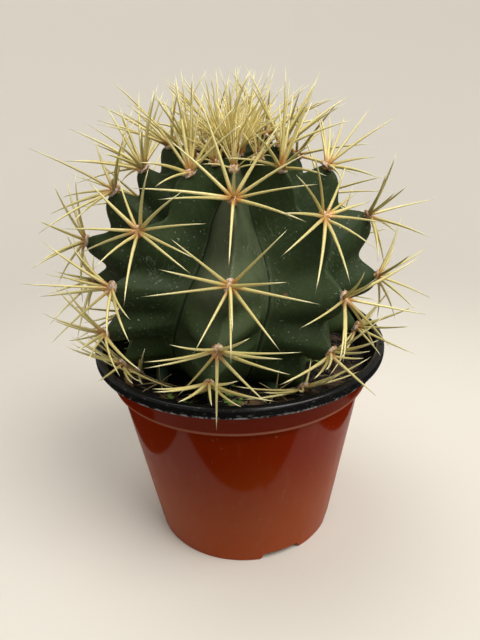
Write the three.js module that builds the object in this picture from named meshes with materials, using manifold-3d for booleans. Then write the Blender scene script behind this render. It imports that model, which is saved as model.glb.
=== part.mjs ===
// A round, ribbed cactus with long straw-yellow spines, standing in a 15 cm plastic nursery pot.
// Millimetres, +Z up. The origin is on the pot's axis, at the level of the surface it stands on.
// Azimuth 0 is the front (-Y) and grows towards +X.

import * as THREE from 'three';
import { mergeVertices } from 'three/addons/utils/BufferGeometryUtils.js';
import Module from 'manifold-3d';

const wasm = await Module();
wasm.setup();

// ---- driving dimensions -------------------------------------------------------------------------

// pot
const RIM_RADIUS = 75;           // outside of the rolled rim
const POT_HEIGHT = 109;
const LIP_HEIGHT = 5.2;          // how far the rolled rim hangs down outside
const LIP_WIDTH = 4.4;           // across the top of the rolled rim
const BAND_TOP_RADIUS = 73.2;    // the band under the rim, at its top and at its lower edge
const BAND_BOTTOM_RADIUS = 67.4;
const BAND_BOTTOM_Z = 91;
const WALL_TOP_RADIUS = 64.4;    // the wall, just under the band and at the base
const BASE_RADIUS = 49.2;
const WALL = 1.5;
const FLOOR_Z = 4.2;             // underside of the raised base
const FOOT_WIDTH = 2.4;
const FOOT_CHAMFER = 0.5;
const STEP_ROUND = 0.5;          // of the step under the band
const LIP_STEP = 0.4;            // how far the rolled rim stands out over the band
const FLOOR_ROUND = 3;           // of the corner between the raised base and the wall, inside
const NOTCH_AZIMUTHS = [-80, 21.5, 75, 176.5, 228];
const NOTCH_ANGLE = 27;          // width of a notch in the foot ring, in degrees
const NOTCH_SLOPE = 2.4;         // how far each of its sides slopes
const NOTCH_HEIGHT = 4.1;
const DRAIN_RADIUS = 4.2;
const DRAIN_CIRCLE = 37;
const DRAIN_SEGMENTS = 12;
const POT_SEGMENTS = 60;

// soil
const SOIL_Z = 95;
const SOIL_SEGMENTS = 36;
const SOIL_RINGS = [65.8, 57, 48, 39, 30, 20, 10, 0];
const SOIL_WAVE = 0.7;
const SOIL_DROP = 1.2;           // of the middle of the waves, under SOIL_Z
const CHIP_COUNT = 30;
const CHIP_PLACES = [0.6, 1];    // as shares of the soil's radius
const CHIP_LENGTH = [5.5, 11];
const CHIP_WIDTH = [0.45, 0.65]; // as a share of its length
const CHIP_SKEW = 0.18;
const CHIP_HEIGHT = 4;
const CHIP_SINK = 2.4;
const CHIP_TILT = 0.125;         // radians, to each side
const GAP = 0.3;                 // between touching pieces

// cactus body: a slightly flat globe, cut into ribs, leaning forwards
const STEM_CENTRE = [-3.1, -1.7, 146.5];
const STEM_LEAN_X = 12.2;        // degrees about +X: the crown leans to the front
const STEM_LEAN_Y = -2.2;        // degrees about +Y
const STEM_RADIUS = 72.6;
const STEM_HALF_HEIGHT = 65.2;
const SHOULDER = 1.06;           // power of the cosine of the latitude in the globe's outline
const RIBS = 8;
const RIB_AZIMUTH = 9.3;         // crest of rib 0 at the crown
const RIB_TWIST = -15.2;         // degrees that a crest turns by from the crown to the middle
const FURROW_DEPTH = 22.8;       // round the middle
const FURROW_RISE = 1.66;        // how much deeper the furrows are above the middle, as a share
const FURROW_RISE_POWER = 2.5;   // of the sine of the latitude
const FURROW_FOOT = 0.33;        // how much shallower they are at the foot, as a share
const CREST_ROUND = 0.05;        // rounding of the crest, as a share of half a rib's width
const NOSE_ROUND = 1.4;          // how much rounder it is at an areole
const NOSE_POWER = 4;            // how fast that ends on the way into a dip
const FLANK_POWER = 0.66;        // under 1 the flanks are hollow, over 1 they bulge
const HOLLOWING = 0.05;          // how much is taken off it in a dip
const FLANK_FOOT = 0.55;         // how much less it is at the foot, as a share
const SCALLOP_DEPTH = 9;         // how far the crest dips between two areoles
const SCALLOP_LOW = 0.7;         // how much more it does at the foot, as a share
const SCALLOP_FADE = 0.6;        // cosine of the latitude from where the dips get shallower
const SCALLOP_LEAN = 1.45;       // over 1 the dips are close above the lower areole
const CROWN_DIP = 9;
const CROWN_SHIFT = [6, 4.5];    // how far the middle of the crown lies to the right and to the back
const CROWN_DIP_LATITUDE = 58;   // where the dip starts
const ROOT_RADIUS = 22;
const ROOT_Z = 62;
const ROOT_TAPER = 0.6;
const ROOT_SINK = 6;             // how far it runs into the body
const ROOT_TAPER_DEPTH = 12;     // below the soil
const ROOT_SEGMENTS = 20;
const RIB_COLUMNS = [-1, -0.55, -0.17, 0, 0.17, 0.55]; // across a rib, furrow to furrow
const ROW_TOP = 84.1;            // latitudes of the rows of the ribbed surface
const ROW_BOTTOM = -66;
const ROW_STEP = 6.4;

// latitudes of the areoles on each rib, in degrees, from the crown down
const AREOLES = [
  [56, 27, 4, -13],
  [63, 40, 11, -11, -34],
  [67, 47, 21, -5, -29, -50],
  [60, 37, 13, -11, -34, -55],
  [74, 51, 28, 4, -20, -43, -60],
  [64, 40, 16, -8, -31, -54],
  [76, 60, 46, 18, -6, -29, -50],
  [69, 42, 20, -2, -26, -37],
];

// areoles and spines
const PAD_RADIUS = 3.6;
const PAD_HEIGHT = 1.7;
const PAD_STRETCH = 1.2;         // along the rib
const PAD_RING = 0.55;           // where the radial spines stand, as a share of its radius
const PAD_LIFT = 0.6;
const LOWEST_AREOLE = 3.5;       // above the soil
const RADIAL_PAIRS = [24, 53, 81, 101, 145]; // degrees to each side of the way up; one pair is missing
const SOLID_SPINES = 7;          // of an areole's spines, those made as solids
const AROUND_SPREAD = 8;
const SPINE_LENGTH = 36;
const LENGTH_SPREAD = 0.13;
const SPINE_RADIUS = 0.85;       // at the root
const SPINE_RISE = 22;           // degrees above the surface
const RISE_SPREAD = 10;
const RISE_LIMIT = 82;
const CENTRAL = 'central';       // place of the one spine that stands in the middle of the pad
const CENTRAL_RISE = 66;
const CENTRAL_SPREAD = 80;
const CENTRAL_LATITUDE = 15;     // above this the central spine leans down, below it up
const LOW_SPINES = 0.85;         // share of the length that spines near the soil have
const LOW_LATITUDE = -5;
const YOUNG_LATITUDE = 50;       // above this the spines stand more and more upright
const YOUNG_RISE = 1.4;          // degrees for each degree of latitude
const STEEP = 52;                // spines with more rise than this stand in the middle of the pad
const SPINE_SINK = 3;            // length of spine inside the pad
const SPINE_CLEARANCE = 1.9;     // between the middles of two spines
const SPINE_ATTEMPTS = 14;
const LIFT_TESTS = 16;           // places along a spine that are tested against the body and the pot
const LIFT_STEPS = 80;
const LIFT_FROM_STEM = 0.05;     // change of direction in one step
const LIFT_FROM_POT = 0.07;
const ROOT_SHARE = 0.12;         // first part of a spine, which may touch the body
const STEM_MARGIN = 1.5;
const RIM_MARGIN = 1.5;
const RIM_ZONE = 4;              // inside the rim, where a spine must already be above it
const SOIL_MARGIN = 4.5;
const SIDE_REACH = { x: 102, y: 96.5 }; // no spine goes further than this from the pot's axis
const TOP_REACH = 240;

// crown tuft
const TUFT_RADIUS = 7;
const TUFT_HEIGHT = 4;
const TUFT_SPINES = 64;
const TUFT_SPINE_LENGTH = [20, 40];
const TUFT_BUDS = 8;             // young areoles that share the spines
const TUFT_LEAN = [4, 34];       // of a bud from the crown's axis, in the middle and at the edge
const TUFT_FAN = [6, 42];        // degrees of its spines from the bud's own direction
const TUFT_TURN_SPREAD = 25;
const TUFT_SINK = 4;
const TUFT_SEGMENTS = 20;
const TUFT_SPINE_RADIUS = 0.72;
const GOLDEN_ANGLE = 137.508;

// Spines of the areoles in front: degrees round from the way up, rise in degrees, length.
// Each list is under the rib and the latitude of its areole.
const FRONT_SPINES = {
  '0/56': [
    [-90, 15, 38], [-19, 34, 37], [-50, 23, 33], [41, 29, 33], [78, 34, 32], [100, 25, 33],
    [-110, 30, 33], [131, 24, 34], [-173, 11, 34], [-177, 73, 36],
  ],
  '0/27': [
    [93, 23, 34], [-103, 25, 34], [134, 31, 32], [37, 32, 32], [172, 35, 31], [-158, 37, 31],
    [-57, 38, 32], [-82, 39, 31], [169, 54, 32], [75, 53, 33],
  ],
  '0/4': [
    [62, 19, 34], [167, 20, 32], [72, 32, 32], [-92, 39, 31], [-85, 39, 32], [140, 6, 30],
    [54, 36, 32], [-158, -6, 30], [-53, 46, 33], [22, 41, 32],
  ],
  '0/-13': [
    [59, 22, 28], [-60, 32, 28], [-59, 35, 28], [174, 12, 27], [34, 42, 28], [-32, 48, 29],
    [20, 25, 28], [4, 49, 29], [101, 18, 27],
  ],
  '1/63': [
    [53, 53, 41], [22, 50, 39], [38, 36, 33], [57, 35, 33], [31, 21, 32], [-162, 35, 33],
    [-88, 19, 34], [-142, 51, 36], [-92, 43, 34],
  ],
  '1/40': [
    [-134, 1, 36], [-149, 17, 34], [-38, 45, 33], [-103, 3, 34], [-153, 45, 33], [113, 2, 32],
    [57, 2, 32], [-59, 35, 33], [92, -4, 32], [-81, 19, 34], [80, -10, 32],
  ],
  '1/11': [
    [58, 30, 34], [106, 38, 35], [-128, 31, 33], [-130, 33, 32], [138, 15, 32], [143, 4, 32],
    [-97, 11, 34], [-50, 51, 36], [-48, 44, 34],
  ],
  '1/-11': [
    [-104, 1, 30], [159, 33, 28], [-10, 40, 28], [145, 16, 28], [-18, 27, 28], [-27, 43, 29],
    [-81, 25, 28], [-68, 29, 28], [24, 18, 27],
  ],
  '2/47': [
    [144, 61, 40], [105, 54, 38], [53, 30, 33], [69, 25, 33], [-110, 22, 33], [90, 37, 34],
    [78, 29, 33], [139, 25, 33], [-87, 5, 33],
  ],
  '2/21': [
    [127, 63, 36], [-118, 36, 34], [-32, 37, 34], [156, -5, 33], [-109, -8, 34], [-66, 33, 34],
    [-50, 23, 33], [-67, 23, 33], [131, 17, 33],
  ],
  '2/-5': [
    [134, 59, 36], [59, 50, 35], [-100, 23, 33], [150, 27, 33], [146, 10, 33], [-56, 15, 32],
    [70, 21, 33], [97, 26, 33], [24, 18, 31],
  ],
  '7/69': [
    [-33, 50, 38], [-18, 46, 35], [-12, 39, 33], [-52, 39, 33], [-69, 31, 32], [167, 47, 34],
    [154, 32, 33], [24, 33, 31], [53, 33, 31],
  ],
  '7/42': [
    [142, 14, 34], [-118, 19, 32], [65, 6, 34], [96, 3, 35], [-77, 13, 32], [87, 5, 34],
    [-131, -1, 31], [31, 45, 33], [50, 26, 33], [144, 47, 33], [-60, -3, 31],
  ],
  '7/20': [
    [-116, 42, 37], [-81, 29, 34], [-169, 30, 34], [-128, 27, 33], [94, 21, 33], [-88, 0, 32],
    [94, 36, 33], [-113, 7, 32], [76, 25, 33],
  ],
  '7/-2': [
    [-101, 25, 33], [71, 4, 34], [-113, 18, 32], [69, 19, 33], [-135, 14, 32], [49, 35, 33],
    [38, 37, 34], [-24, 18, 31], [-53, 18, 31],
  ],
  '6/18': [
    [161, -7, 34], [2, 29, 34], [-69, 30, 33], [80, 30, 34], [38, 34, 34], [177, 19, 33],
    [69, 23, 33], [-148, -14, 34], [-24, 18, 31],
  ],
};

// ---- helpers ------------------------------------------------------------------------------------

const rad = THREE.MathUtils.degToRad;
const vec = (x, y, z) => new THREE.Vector3(x, y, z);
const within = ([low, high], share) => low + (high - low) * share;

// A repeatable random number in 0..1 for each call.
function seeded(seed) {
  let state = seed;
  return () => (state = (state * 48271) % 2147483647) / 2147483647;
}

// Merges what shares a place, and turns the faces outwards.
function closed(geometry) {
  const bare = geometry.clone();
  for (const name of Object.keys(bare.attributes)) {
    if (name !== 'position') bare.deleteAttribute(name);
  }
  const merged = mergeVertices(bare, 1e-4);
  const at = merged.attributes.position;
  const kept = [];
  let volume = 0;
  for (let i = 0; i < merged.index.count; i += 3) {
    const [a, b, c] = [0, 1, 2].map((j) => merged.index.getX(i + j));
    if (a === b || b === c || c === a) continue;
    kept.push(a, b, c);
    const [p, q, r] = [a, b, c].map((v) => vec().fromBufferAttribute(at, v));
    volume += p.dot(q.cross(r));
  }
  if (volume < 0) kept.reverse();
  merged.setIndex(kept);
  return merged;
}

function solid(geometry) {
  const g = closed(geometry);
  return new wasm.Manifold(new wasm.Mesh({
    numProp: 3,
    vertProperties: new Float32Array(g.attributes.position.array),
    triVerts: new Uint32Array(g.index.array),
  }));
}

// Joins solids into one body: the outermost shell, with no sealed hollow and no loose scrap.
function fused(parts) {
  const shells = wasm.Manifold.union(parts).decompose();
  return shells.reduce((a, b) => (b.volume() > a.volume() ? b : a));
}

function geometryOf(manifold) {
  const mesh = manifold.getMesh();
  const geometry = new THREE.BufferGeometry();
  geometry.setAttribute('position', new THREE.BufferAttribute(mesh.vertProperties, 3));
  geometry.setIndex(new THREE.BufferAttribute(mesh.triVerts, 1));
  return geometry;
}

// Turns an outline of [radius, height] points about the Z axis.
function turned(outline, segments) {
  const points = outline.map(([r, z]) => new THREE.Vector2(r, z));
  return new THREE.LatheGeometry(points, segments).rotateX(Math.PI / 2);
}

function polar(radius, azimuth, z = 0) {
  return vec(radius * Math.sin(rad(azimuth)), -radius * Math.cos(rad(azimuth)), z);
}

// Shortest distance between two straight stretches, a to b and c to d.
function distanceBetween(a, b, c, d) {
  const u = b.clone().sub(a);
  const v = d.clone().sub(c);
  const w = a.clone().sub(c);
  const [uu, uv, vv, uw, vw] = [u.dot(u), u.dot(v), v.dot(v), u.dot(w), v.dot(w)];
  const clamp = (x) => Math.min(1, Math.max(0, x));
  const det = uu * vv - uv * uv;
  let s = det > 1e-9 ? clamp((uv * vw - vv * uw) / det) : 0;
  const t = clamp((uv * s + vw) / vv);
  s = clamp((uv * t - uw) / uu);
  return a.clone().addScaledVector(u, s).distanceTo(c.clone().addScaledVector(v, t));
}

// ---- pot ----------------------------------------------------------------------------------------

// Radius of the inside of the pot at height z, below the rim band.
function innerRadius(z) {
  return BASE_RADIUS + (WALL_TOP_RADIUS - BASE_RADIUS) * z / BAND_BOTTOM_Z - WALL;
}

// The inside of the pot, from the middle of its base up into the band, or a gap away from it.
function potInside(gap = 0) {
  const base = FLOOR_Z + WALL + gap;
  return [
    [0, base],
    [innerRadius(base) - FLOOR_ROUND - gap, base],
    [innerRadius(base + FLOOR_ROUND) - gap, base + FLOOR_ROUND],
    [WALL_TOP_RADIUS - WALL - gap, BAND_BOTTOM_Z - STEP_ROUND],
    [BAND_BOTTOM_RADIUS - WALL - gap, BAND_BOTTOM_Z + 2 * STEP_ROUND + gap],
  ];
}

function potOutline() {
  const lipZ = POT_HEIGHT - LIP_HEIGHT;
  const round = LIP_WIDTH / 2;
  const lip = [0, 45, 90, 135, 180].map((angle) => [
    RIM_RADIUS - round + round * Math.cos(rad(angle)),
    POT_HEIGHT - round + round * Math.sin(rad(angle)),
  ]);
  return [
    [0, FLOOR_Z],
    [BASE_RADIUS - FOOT_WIDTH, FLOOR_Z],
    [BASE_RADIUS - FOOT_WIDTH, 0],
    [BASE_RADIUS - FOOT_CHAMFER, 0],
    [BASE_RADIUS, FOOT_CHAMFER],
    [WALL_TOP_RADIUS, BAND_BOTTOM_Z - 2 * STEP_ROUND],
    [BAND_BOTTOM_RADIUS, BAND_BOTTOM_Z - STEP_ROUND],
    [BAND_BOTTOM_RADIUS, BAND_BOTTOM_Z + STEP_ROUND],
    [BAND_TOP_RADIUS, lipZ],
    [RIM_RADIUS - LIP_STEP, lipZ],
    ...lip,
    [RIM_RADIUS - LIP_WIDTH - LIP_STEP, lipZ],
    ...potInside().reverse(),
  ];
}

// One notch of the foot ring: a block with sloping sides, laid along its azimuth.
function notch(azimuth) {
  const half = BASE_RADIUS * rad(NOTCH_ANGLE) / 2;
  const outline = new THREE.Shape([
    new THREE.Vector2(-half - NOTCH_SLOPE, -FLOOR_Z),
    new THREE.Vector2(half + NOTCH_SLOPE, -FLOOR_Z),
    new THREE.Vector2(half - NOTCH_SLOPE, NOTCH_HEIGHT),
    new THREE.Vector2(-half + NOTCH_SLOPE, NOTCH_HEIGHT),
  ]);
  const reach = 4 * FOOT_WIDTH;
  return new THREE.ExtrudeGeometry(outline, { depth: reach, bevelEnabled: false })
    .rotateX(Math.PI / 2)
    .translate(0, reach - BASE_RADIUS, 0)
    .rotateZ(rad(azimuth));
}

function drain(x, y) {
  return new THREE.CylinderGeometry(DRAIN_RADIUS, DRAIN_RADIUS, 3 * FLOOR_Z, DRAIN_SEGMENTS)
    .rotateX(Math.PI / 2)
    .translate(x, y, FLOOR_Z);
}

function makePot() {
  let pot = solid(turned(potOutline(), POT_SEGMENTS));
  for (const azimuth of NOTCH_AZIMUTHS) {
    const at = polar(DRAIN_CIRCLE, azimuth);
    pot = pot.subtract(solid(notch(azimuth))).subtract(solid(drain(at.x, at.y)));
  }
  return geometryOf(pot.subtract(solid(drain(0, 0))));
}

// ---- cactus body --------------------------------------------------------------------------------

const STEM_TO_WORLD = new THREE.Matrix4()
  .makeTranslation(...STEM_CENTRE)
  .multiply(new THREE.Matrix4().makeRotationY(rad(STEM_LEAN_Y)))
  .multiply(new THREE.Matrix4().makeRotationX(rad(STEM_LEAN_X)));
const WORLD_TO_STEM = STEM_TO_WORLD.clone().invert();

const smooth = (x) => x * x * (3 - 2 * x);

// Azimuth of the crest of a rib at a latitude: the ribs turn a little on their way down.
function crestAzimuth(rib, latitude) {
  return RIB_AZIMUTH + rib * 360 / RIBS + RIB_TWIST * (1 - Math.sin(rad(latitude)));
}

// How far down a place lies between two areoles of its rib, 0 to 1.
function wayDown(rib, latitude) {
  const list = AREOLES[rib];
  for (let i = 1; i < list.length; i += 1) {
    if (latitude <= list[i - 1] && latitude >= list[i]) {
      return (list[i - 1] - latitude) / (list[i - 1] - list[i]);
    }
  }
  return 0;
}

// How far the surface lies below the smooth globe. across is 0 on the crest and 1 in the furrow.
function depthAt(rib, across, latitude) {
  const valley = Math.sin(Math.PI * wayDown(rib, latitude) ** SCALLOP_LEAN) ** 2;
  const sine = Math.sin(rad(latitude));
  const low = Math.max(0, -sine);
  const cosine = Math.max(0, Math.cos(rad(latitude)));
  const round = CREST_ROUND * (1 + NOSE_ROUND * (1 - valley) ** NOSE_POWER);
  const keel = (Math.hypot(across, round) - round) / (Math.hypot(1, round) - round);
  const flank = keel ** ((FLANK_POWER - HOLLOWING * valley) * (1 - FLANK_FOOT * low));
  const deeper = 1 + FURROW_RISE * Math.max(0, sine) ** FURROW_RISE_POWER - FURROW_FOOT * low;
  const dip = SCALLOP_DEPTH * Math.min(1, cosine / SCALLOP_FADE) * (1 + SCALLOP_LOW * low);
  return FURROW_DEPTH * cosine * deeper * flank + dip * valley * (1 - flank);
}

// How far a latitude lies in the sunken crown: 0 at its edge and 1 in its middle.
function sunken(latitude) {
  const past = (latitude - CROWN_DIP_LATITUDE) / (90 - CROWN_DIP_LATITUDE);
  return past > 0 ? smooth(past) : 0;
}

// A point of the smooth globe and its outward direction, in the stem's own frame.
function globe(azimuth, latitude) {
  const c = Math.cos(rad(latitude));
  const s = Math.sin(rad(latitude));
  const outward = polar(c / STEM_RADIUS, azimuth, s / STEM_HALF_HEIGHT).normalize();
  const share = sunken(latitude);
  const at = polar(STEM_RADIUS * Math.max(0, c) ** SHOULDER, azimuth, STEM_HALF_HEIGHT * s)
    .add(vec(CROWN_SHIFT[0], CROWN_SHIFT[1], -CROWN_DIP).multiplyScalar(share));
  return { at, outward };
}

function stemPoint(rib, side, latitude) {
  const { at, outward } = globe(crestAzimuth(rib + side / 2, latitude), latitude);
  return at.addScaledVector(outward, -depthAt(rib, Math.abs(side), latitude));
}

// The ribbed surface as a closed grid: round the ribs in steps across each rib, and down the latitudes.
function ribbedGlobe() {
  const columns = [];
  for (let rib = 0; rib < RIBS; rib += 1) {
    for (const side of RIB_COLUMNS) columns.push([rib, side]);
  }
  const rows = [];
  for (let latitude = ROW_TOP; latitude > ROW_BOTTOM; latitude -= ROW_STEP) rows.push(latitude);
  const points = [];
  for (const latitude of rows) {
    for (const [rib, side] of columns) {
      const p = stemPoint(rib, side, latitude);
      if (side === -1) p.lerp(stemPoint((rib + RIBS - 1) % RIBS, 1, latitude), 0.5);
      points.push(p);
    }
  }
  const top = points.push(stemPoint(0, 0, 90)) - 1;
  const bottom = points.push(stemPoint(0, 0, -90)) - 1;
  const n = columns.length;
  const index = [];
  for (let row = 0; row < rows.length - 1; row += 1) {
    for (let i = 0; i < n; i += 1) {
      const j = (i + 1) % n;
      const [a, b, c, d] = [row * n + i, row * n + j, (row + 1) * n + j, (row + 1) * n + i];
      index.push(a, d, c, a, c, b);
    }
  }
  const last = (rows.length - 1) * n;
  for (let i = 0; i < n; i += 1) {
    const j = (i + 1) % n;
    index.push(top, i, j, bottom, last + j, last + i);
  }
  const geometry = new THREE.BufferGeometry().setFromPoints(points);
  geometry.setIndex(index);
  return geometry.applyMatrix4(STEM_TO_WORLD);
}

// Whether a world point is inside the ribbed body, or closer to it than margin.
function insideStem(world, margin) {
  const p = world.clone().applyMatrix4(WORLD_TO_STEM);
  const up = p.z / STEM_HALF_HEIGHT;
  const latitudeOf = (out) => THREE.MathUtils.radToDeg(Math.atan2(up, out));
  const share = sunken(latitudeOf(Math.hypot(p.x, p.y) / STEM_RADIUS));
  p.x -= CROWN_SHIFT[0] * share;
  p.y -= CROWN_SHIFT[1] * share;
  const across = Math.hypot(p.x, p.y) / STEM_RADIUS;
  const latitude = latitudeOf(across);
  const azimuth = THREE.MathUtils.radToDeg(Math.atan2(p.x, -p.y));
  let turns = (azimuth - crestAzimuth(0, latitude)) * RIBS / 360;
  turns = ((turns % RIBS) + RIBS) % RIBS;
  const rib = Math.round(turns) % RIBS;
  const side = Math.abs(turns - Math.round(turns)) * 2;
  const below = depthAt(rib, side, latitude) + CROWN_DIP * sunken(latitude);
  return (1 - Math.hypot(across, up)) * STEM_RADIUS > below - margin;
}

// ---- spines -------------------------------------------------------------------------------------

// A spine as a slim three-sided needle from its root to its tip.
function needle(root, tip, radius) {
  const length = root.distanceTo(tip);
  return new THREE.ConeGeometry(radius, length, 3, 1)
    .translate(0, length / 2, 0)
    .applyQuaternion(new THREE.Quaternion().setFromUnitVectors(
      vec(0, 1, 0), tip.clone().sub(root).normalize(),
    ))
    .translate(root.x, root.y, root.z);
}

// Whether a point of a spine is clear of the soil and the pot.
function clearOfPot(p) {
  const r = Math.hypot(p.x, p.y);
  if (r > RIM_RADIUS + RIM_MARGIN) return true;
  if (r > RIM_RADIUS - LIP_WIDTH - RIM_ZONE) return p.z > POT_HEIGHT + RIM_MARGIN;
  return p.z > SOIL_Z + SOIL_MARGIN;
}

// Lifts a spine until it is clear of the body, the soil and the pot.
function lifted(root, direction, outward, length) {
  const aim = direction.clone();
  const away = vec(outward.x, outward.y, Math.max(0, outward.z)).multiplyScalar(LIFT_FROM_STEM);
  for (let step = 0; step < LIFT_STEPS; step += 1) {
    let hitsPot = false;
    let hitsStem = false;
    for (let test = 1; test <= LIFT_TESTS; test += 1) {
      const share = test / LIFT_TESTS;
      const p = root.clone().addScaledVector(aim, length * share);
      hitsPot = hitsPot || (share > ROOT_SHARE && !clearOfPot(p));
      const margin = share > 2 * ROOT_SHARE ? STEM_MARGIN : 0;
      hitsStem = hitsStem || (share > ROOT_SHARE && insideStem(p, margin));
    }
    if (!hitsPot && !hitsStem) break;
    if (hitsStem) aim.add(away);
    if (hitsPot) aim.z += LIFT_FROM_POT;
    aim.normalize();
  }
  return aim;
}

// Shortens a spine that would leave the space the plant takes up.
function heldIn(root, direction, length) {
  let kept = length;
  for (const axis of ['x', 'y']) {
    const room = SIDE_REACH[axis] - Math.sign(direction[axis]) * root[axis];
    kept = Math.min(kept, room / Math.max(1e-6, Math.abs(direction[axis])));
  }
  if (direction.z > 0) kept = Math.min(kept, (TOP_REACH - root.z) / direction.z);
  return kept;
}

const placedSpines = [];

function isClear(root, tip, areole) {
  return placedSpines.every((other) => other.areole === areole
    || distanceBetween(root, tip, other.root, other.tip) > SPINE_CLEARANCE);
}

// Draws a spine again and again until it misses the ones already there.
function growSpine(areole, draw, attempts = SPINE_ATTEMPTS) {
  let spine;
  for (let attempt = 0; attempt < attempts; attempt += 1) {
    const { root, direction, length } = draw();
    const aim = lifted(root, direction, areole.outward, length);
    const tip = root.clone().addScaledVector(aim, heldIn(root, aim, length));
    spine = { root, tip, areole };
    spine.clear = isClear(root, tip, areole);
    if (spine.clear) break;
  }
  return spine;
}

function areoleFrame(rib, latitude) {
  const { outward } = globe(crestAzimuth(rib, latitude), latitude);
  const at = stemPoint(rib, 0, latitude).applyMatrix4(STEM_TO_WORLD);
  outward.transformDirection(STEM_TO_WORLD);
  const above = stemPoint(rib, 0, Math.min(90, latitude + 4)).applyMatrix4(STEM_TO_WORLD);
  const up = above.sub(at);
  up.addScaledVector(outward, -up.dot(outward)).normalize();
  return { rib, latitude, at, outward, up, side: vec().crossVectors(up, outward) };
}

// Root and direction of a spine on an areole.
function spineAt(areole, around, rise, length, central) {
  const flat = areole.up.clone().multiplyScalar(Math.cos(rad(around)))
    .addScaledVector(areole.side, Math.sin(rad(around)));
  const direction = flat.clone().multiplyScalar(Math.cos(rad(rise)))
    .addScaledVector(areole.outward, Math.sin(rad(rise)));
  const root = areole.at.clone().addScaledVector(areole.outward, PAD_LIFT)
    .addScaledVector(flat, central ? 0 : PAD_RADIUS * PAD_RING);
  return { root, direction, length };
}

// The star of spines of one areole: radials all round it, and one central spine.
function starOf(areole, random) {
  const spread = (amount) => (2 * random() - 1) * amount;
  const young = Math.max(0, areole.latitude - YOUNG_LATITUDE) * YOUNG_RISE;
  const low = areole.latitude < LOW_LATITUDE ? LOW_SPINES : 1;
  const missing = Math.floor(random() * RADIAL_PAIRS.length);
  const pairs = RADIAL_PAIRS.filter((_, i) => i !== missing);
  const centre = areole.latitude > CENTRAL_LATITUDE ? 180 : 0;
  const sided = (sign) => pairs.map((angle, i) => (i % 2 ? sign : -sign) * angle);
  const places = [...sided(1), 180, CENTRAL, ...sided(-1).reverse()];
  return places.map((place) => growSpine(areole, () => {
    const central = place === CENTRAL;
    const around = central ? centre + spread(CENTRAL_SPREAD) : place + spread(AROUND_SPREAD);
    const rise = (central ? CENTRAL_RISE : SPINE_RISE + young) + spread(RISE_SPREAD);
    const length = SPINE_LENGTH * (1 + spread(LENGTH_SPREAD)) * low;
    return spineAt(areole, around, Math.min(RISE_LIMIT, rise), length, central);
  }));
}

function spinesOf(areole, random) {
  const seen = FRONT_SPINES[`${areole.rib}/${areole.latitude}`];
  const spines = seen
    ? seen.map(([around, rise, length]) => growSpine(
      areole,
      () => spineAt(areole, around, rise, length, rise > STEEP),
      1,
    ))
    : starOf(areole, random);
  placedSpines.push(...spines);
  return spines;
}

function spineSolid({ root, tip }, radius = SPINE_RADIUS) {
  const inwards = root.clone().sub(tip).normalize();
  return solid(needle(root.clone().addScaledVector(inwards, SPINE_SINK), tip, radius));
}

// The pale felt pad that the spines of an areole stand in.
function pad(areole) {
  const basis = new THREE.Matrix4().makeBasis(areole.side, areole.up, areole.outward);
  return new THREE.OctahedronGeometry(1, 0)
    .scale(PAD_RADIUS, PAD_RADIUS * PAD_STRETCH, PAD_HEIGHT)
    .applyMatrix4(basis)
    .translate(areole.at.x, areole.at.y, areole.at.z);
}

const stemRandom = seeded(20611);
const areoles = AREOLES.flatMap((list, rib) => list.map((latitude) => areoleFrame(rib, latitude)))
  .filter((areole) => areole.at.z > SOIL_Z + LOWEST_AREOLE);

// ---- crown tuft ---------------------------------------------------------------------------------

const crownTop = stemPoint(0, 0, 90).applyMatrix4(STEM_TO_WORLD);
const crownUp = vec(0, 0, 1).transformDirection(STEM_TO_WORLD);
const crownTurn = new THREE.Quaternion().setFromUnitVectors(vec(0, 0, 1), crownUp);

function inCrown(geometry) {
  return geometry.applyQuaternion(crownTurn).translate(crownTop.x, crownTop.y, crownTop.z);
}

// The felt cushion in the sunken top, grown by margin for the pocket it sits in.
function tuft(margin) {
  const r = TUFT_RADIUS + margin;
  const foot = -TUFT_SINK - margin;
  const dome = [0, 30, 60, 90].map((angle) => [r * Math.cos(rad(angle)), TUFT_HEIGHT * Math.sin(rad(angle))]);
  return inCrown(turned([[0, foot], [r, foot], ...dome], TUFT_SEGMENTS));
}

function makeCrown() {
  const random = seeded(7717);
  const cushion = { outward: crownUp };
  const parts = [solid(tuft(0))];
  for (let i = 0; i < TUFT_SPINES; i += 1) {
    const bud = i % TUFT_BUDS;
    const out = Math.sqrt((bud + 0.5) / TUFT_BUDS);
    const azimuth = bud * GOLDEN_ANGLE;
    const lean = rad(within(TUFT_LEAN, out));
    const leaning = new THREE.Quaternion().setFromUnitVectors(
      vec(0, 0, 1), polar(Math.sin(lean), azimuth, Math.cos(lean)),
    );
    const spine = growSpine(cushion, () => {
      const fan = rad(within(TUFT_FAN, random()));
      const turn = i * GOLDEN_ANGLE + (2 * random() - 1) * TUFT_TURN_SPREAD;
      const length = within(TUFT_SPINE_LENGTH, random());
      const root = polar(out * TUFT_RADIUS * 0.75, azimuth, TUFT_HEIGHT * (1 - 0.4 * out));
      const direction = polar(Math.sin(fan), turn, Math.cos(fan)).applyQuaternion(leaning);
      return {
        root: root.applyQuaternion(crownTurn).add(crownTop),
        direction: direction.applyQuaternion(crownTurn),
        length,
      };
    });
    if (spine.clear) {
      placedSpines.push(spine);
      parts.push(spineSolid(spine, TUFT_SPINE_RADIUS));
    }
  }
  return geometryOf(fused(parts));
}

// ---- cactus -------------------------------------------------------------------------------------

// Where the stem's axis meets the soil.
const STEM_FOOT = vec(0, 0, 0).applyMatrix4(STEM_TO_WORLD)
  .addScaledVector(crownUp, (SOIL_Z - STEM_CENTRE[2]) / crownUp.z);

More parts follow.
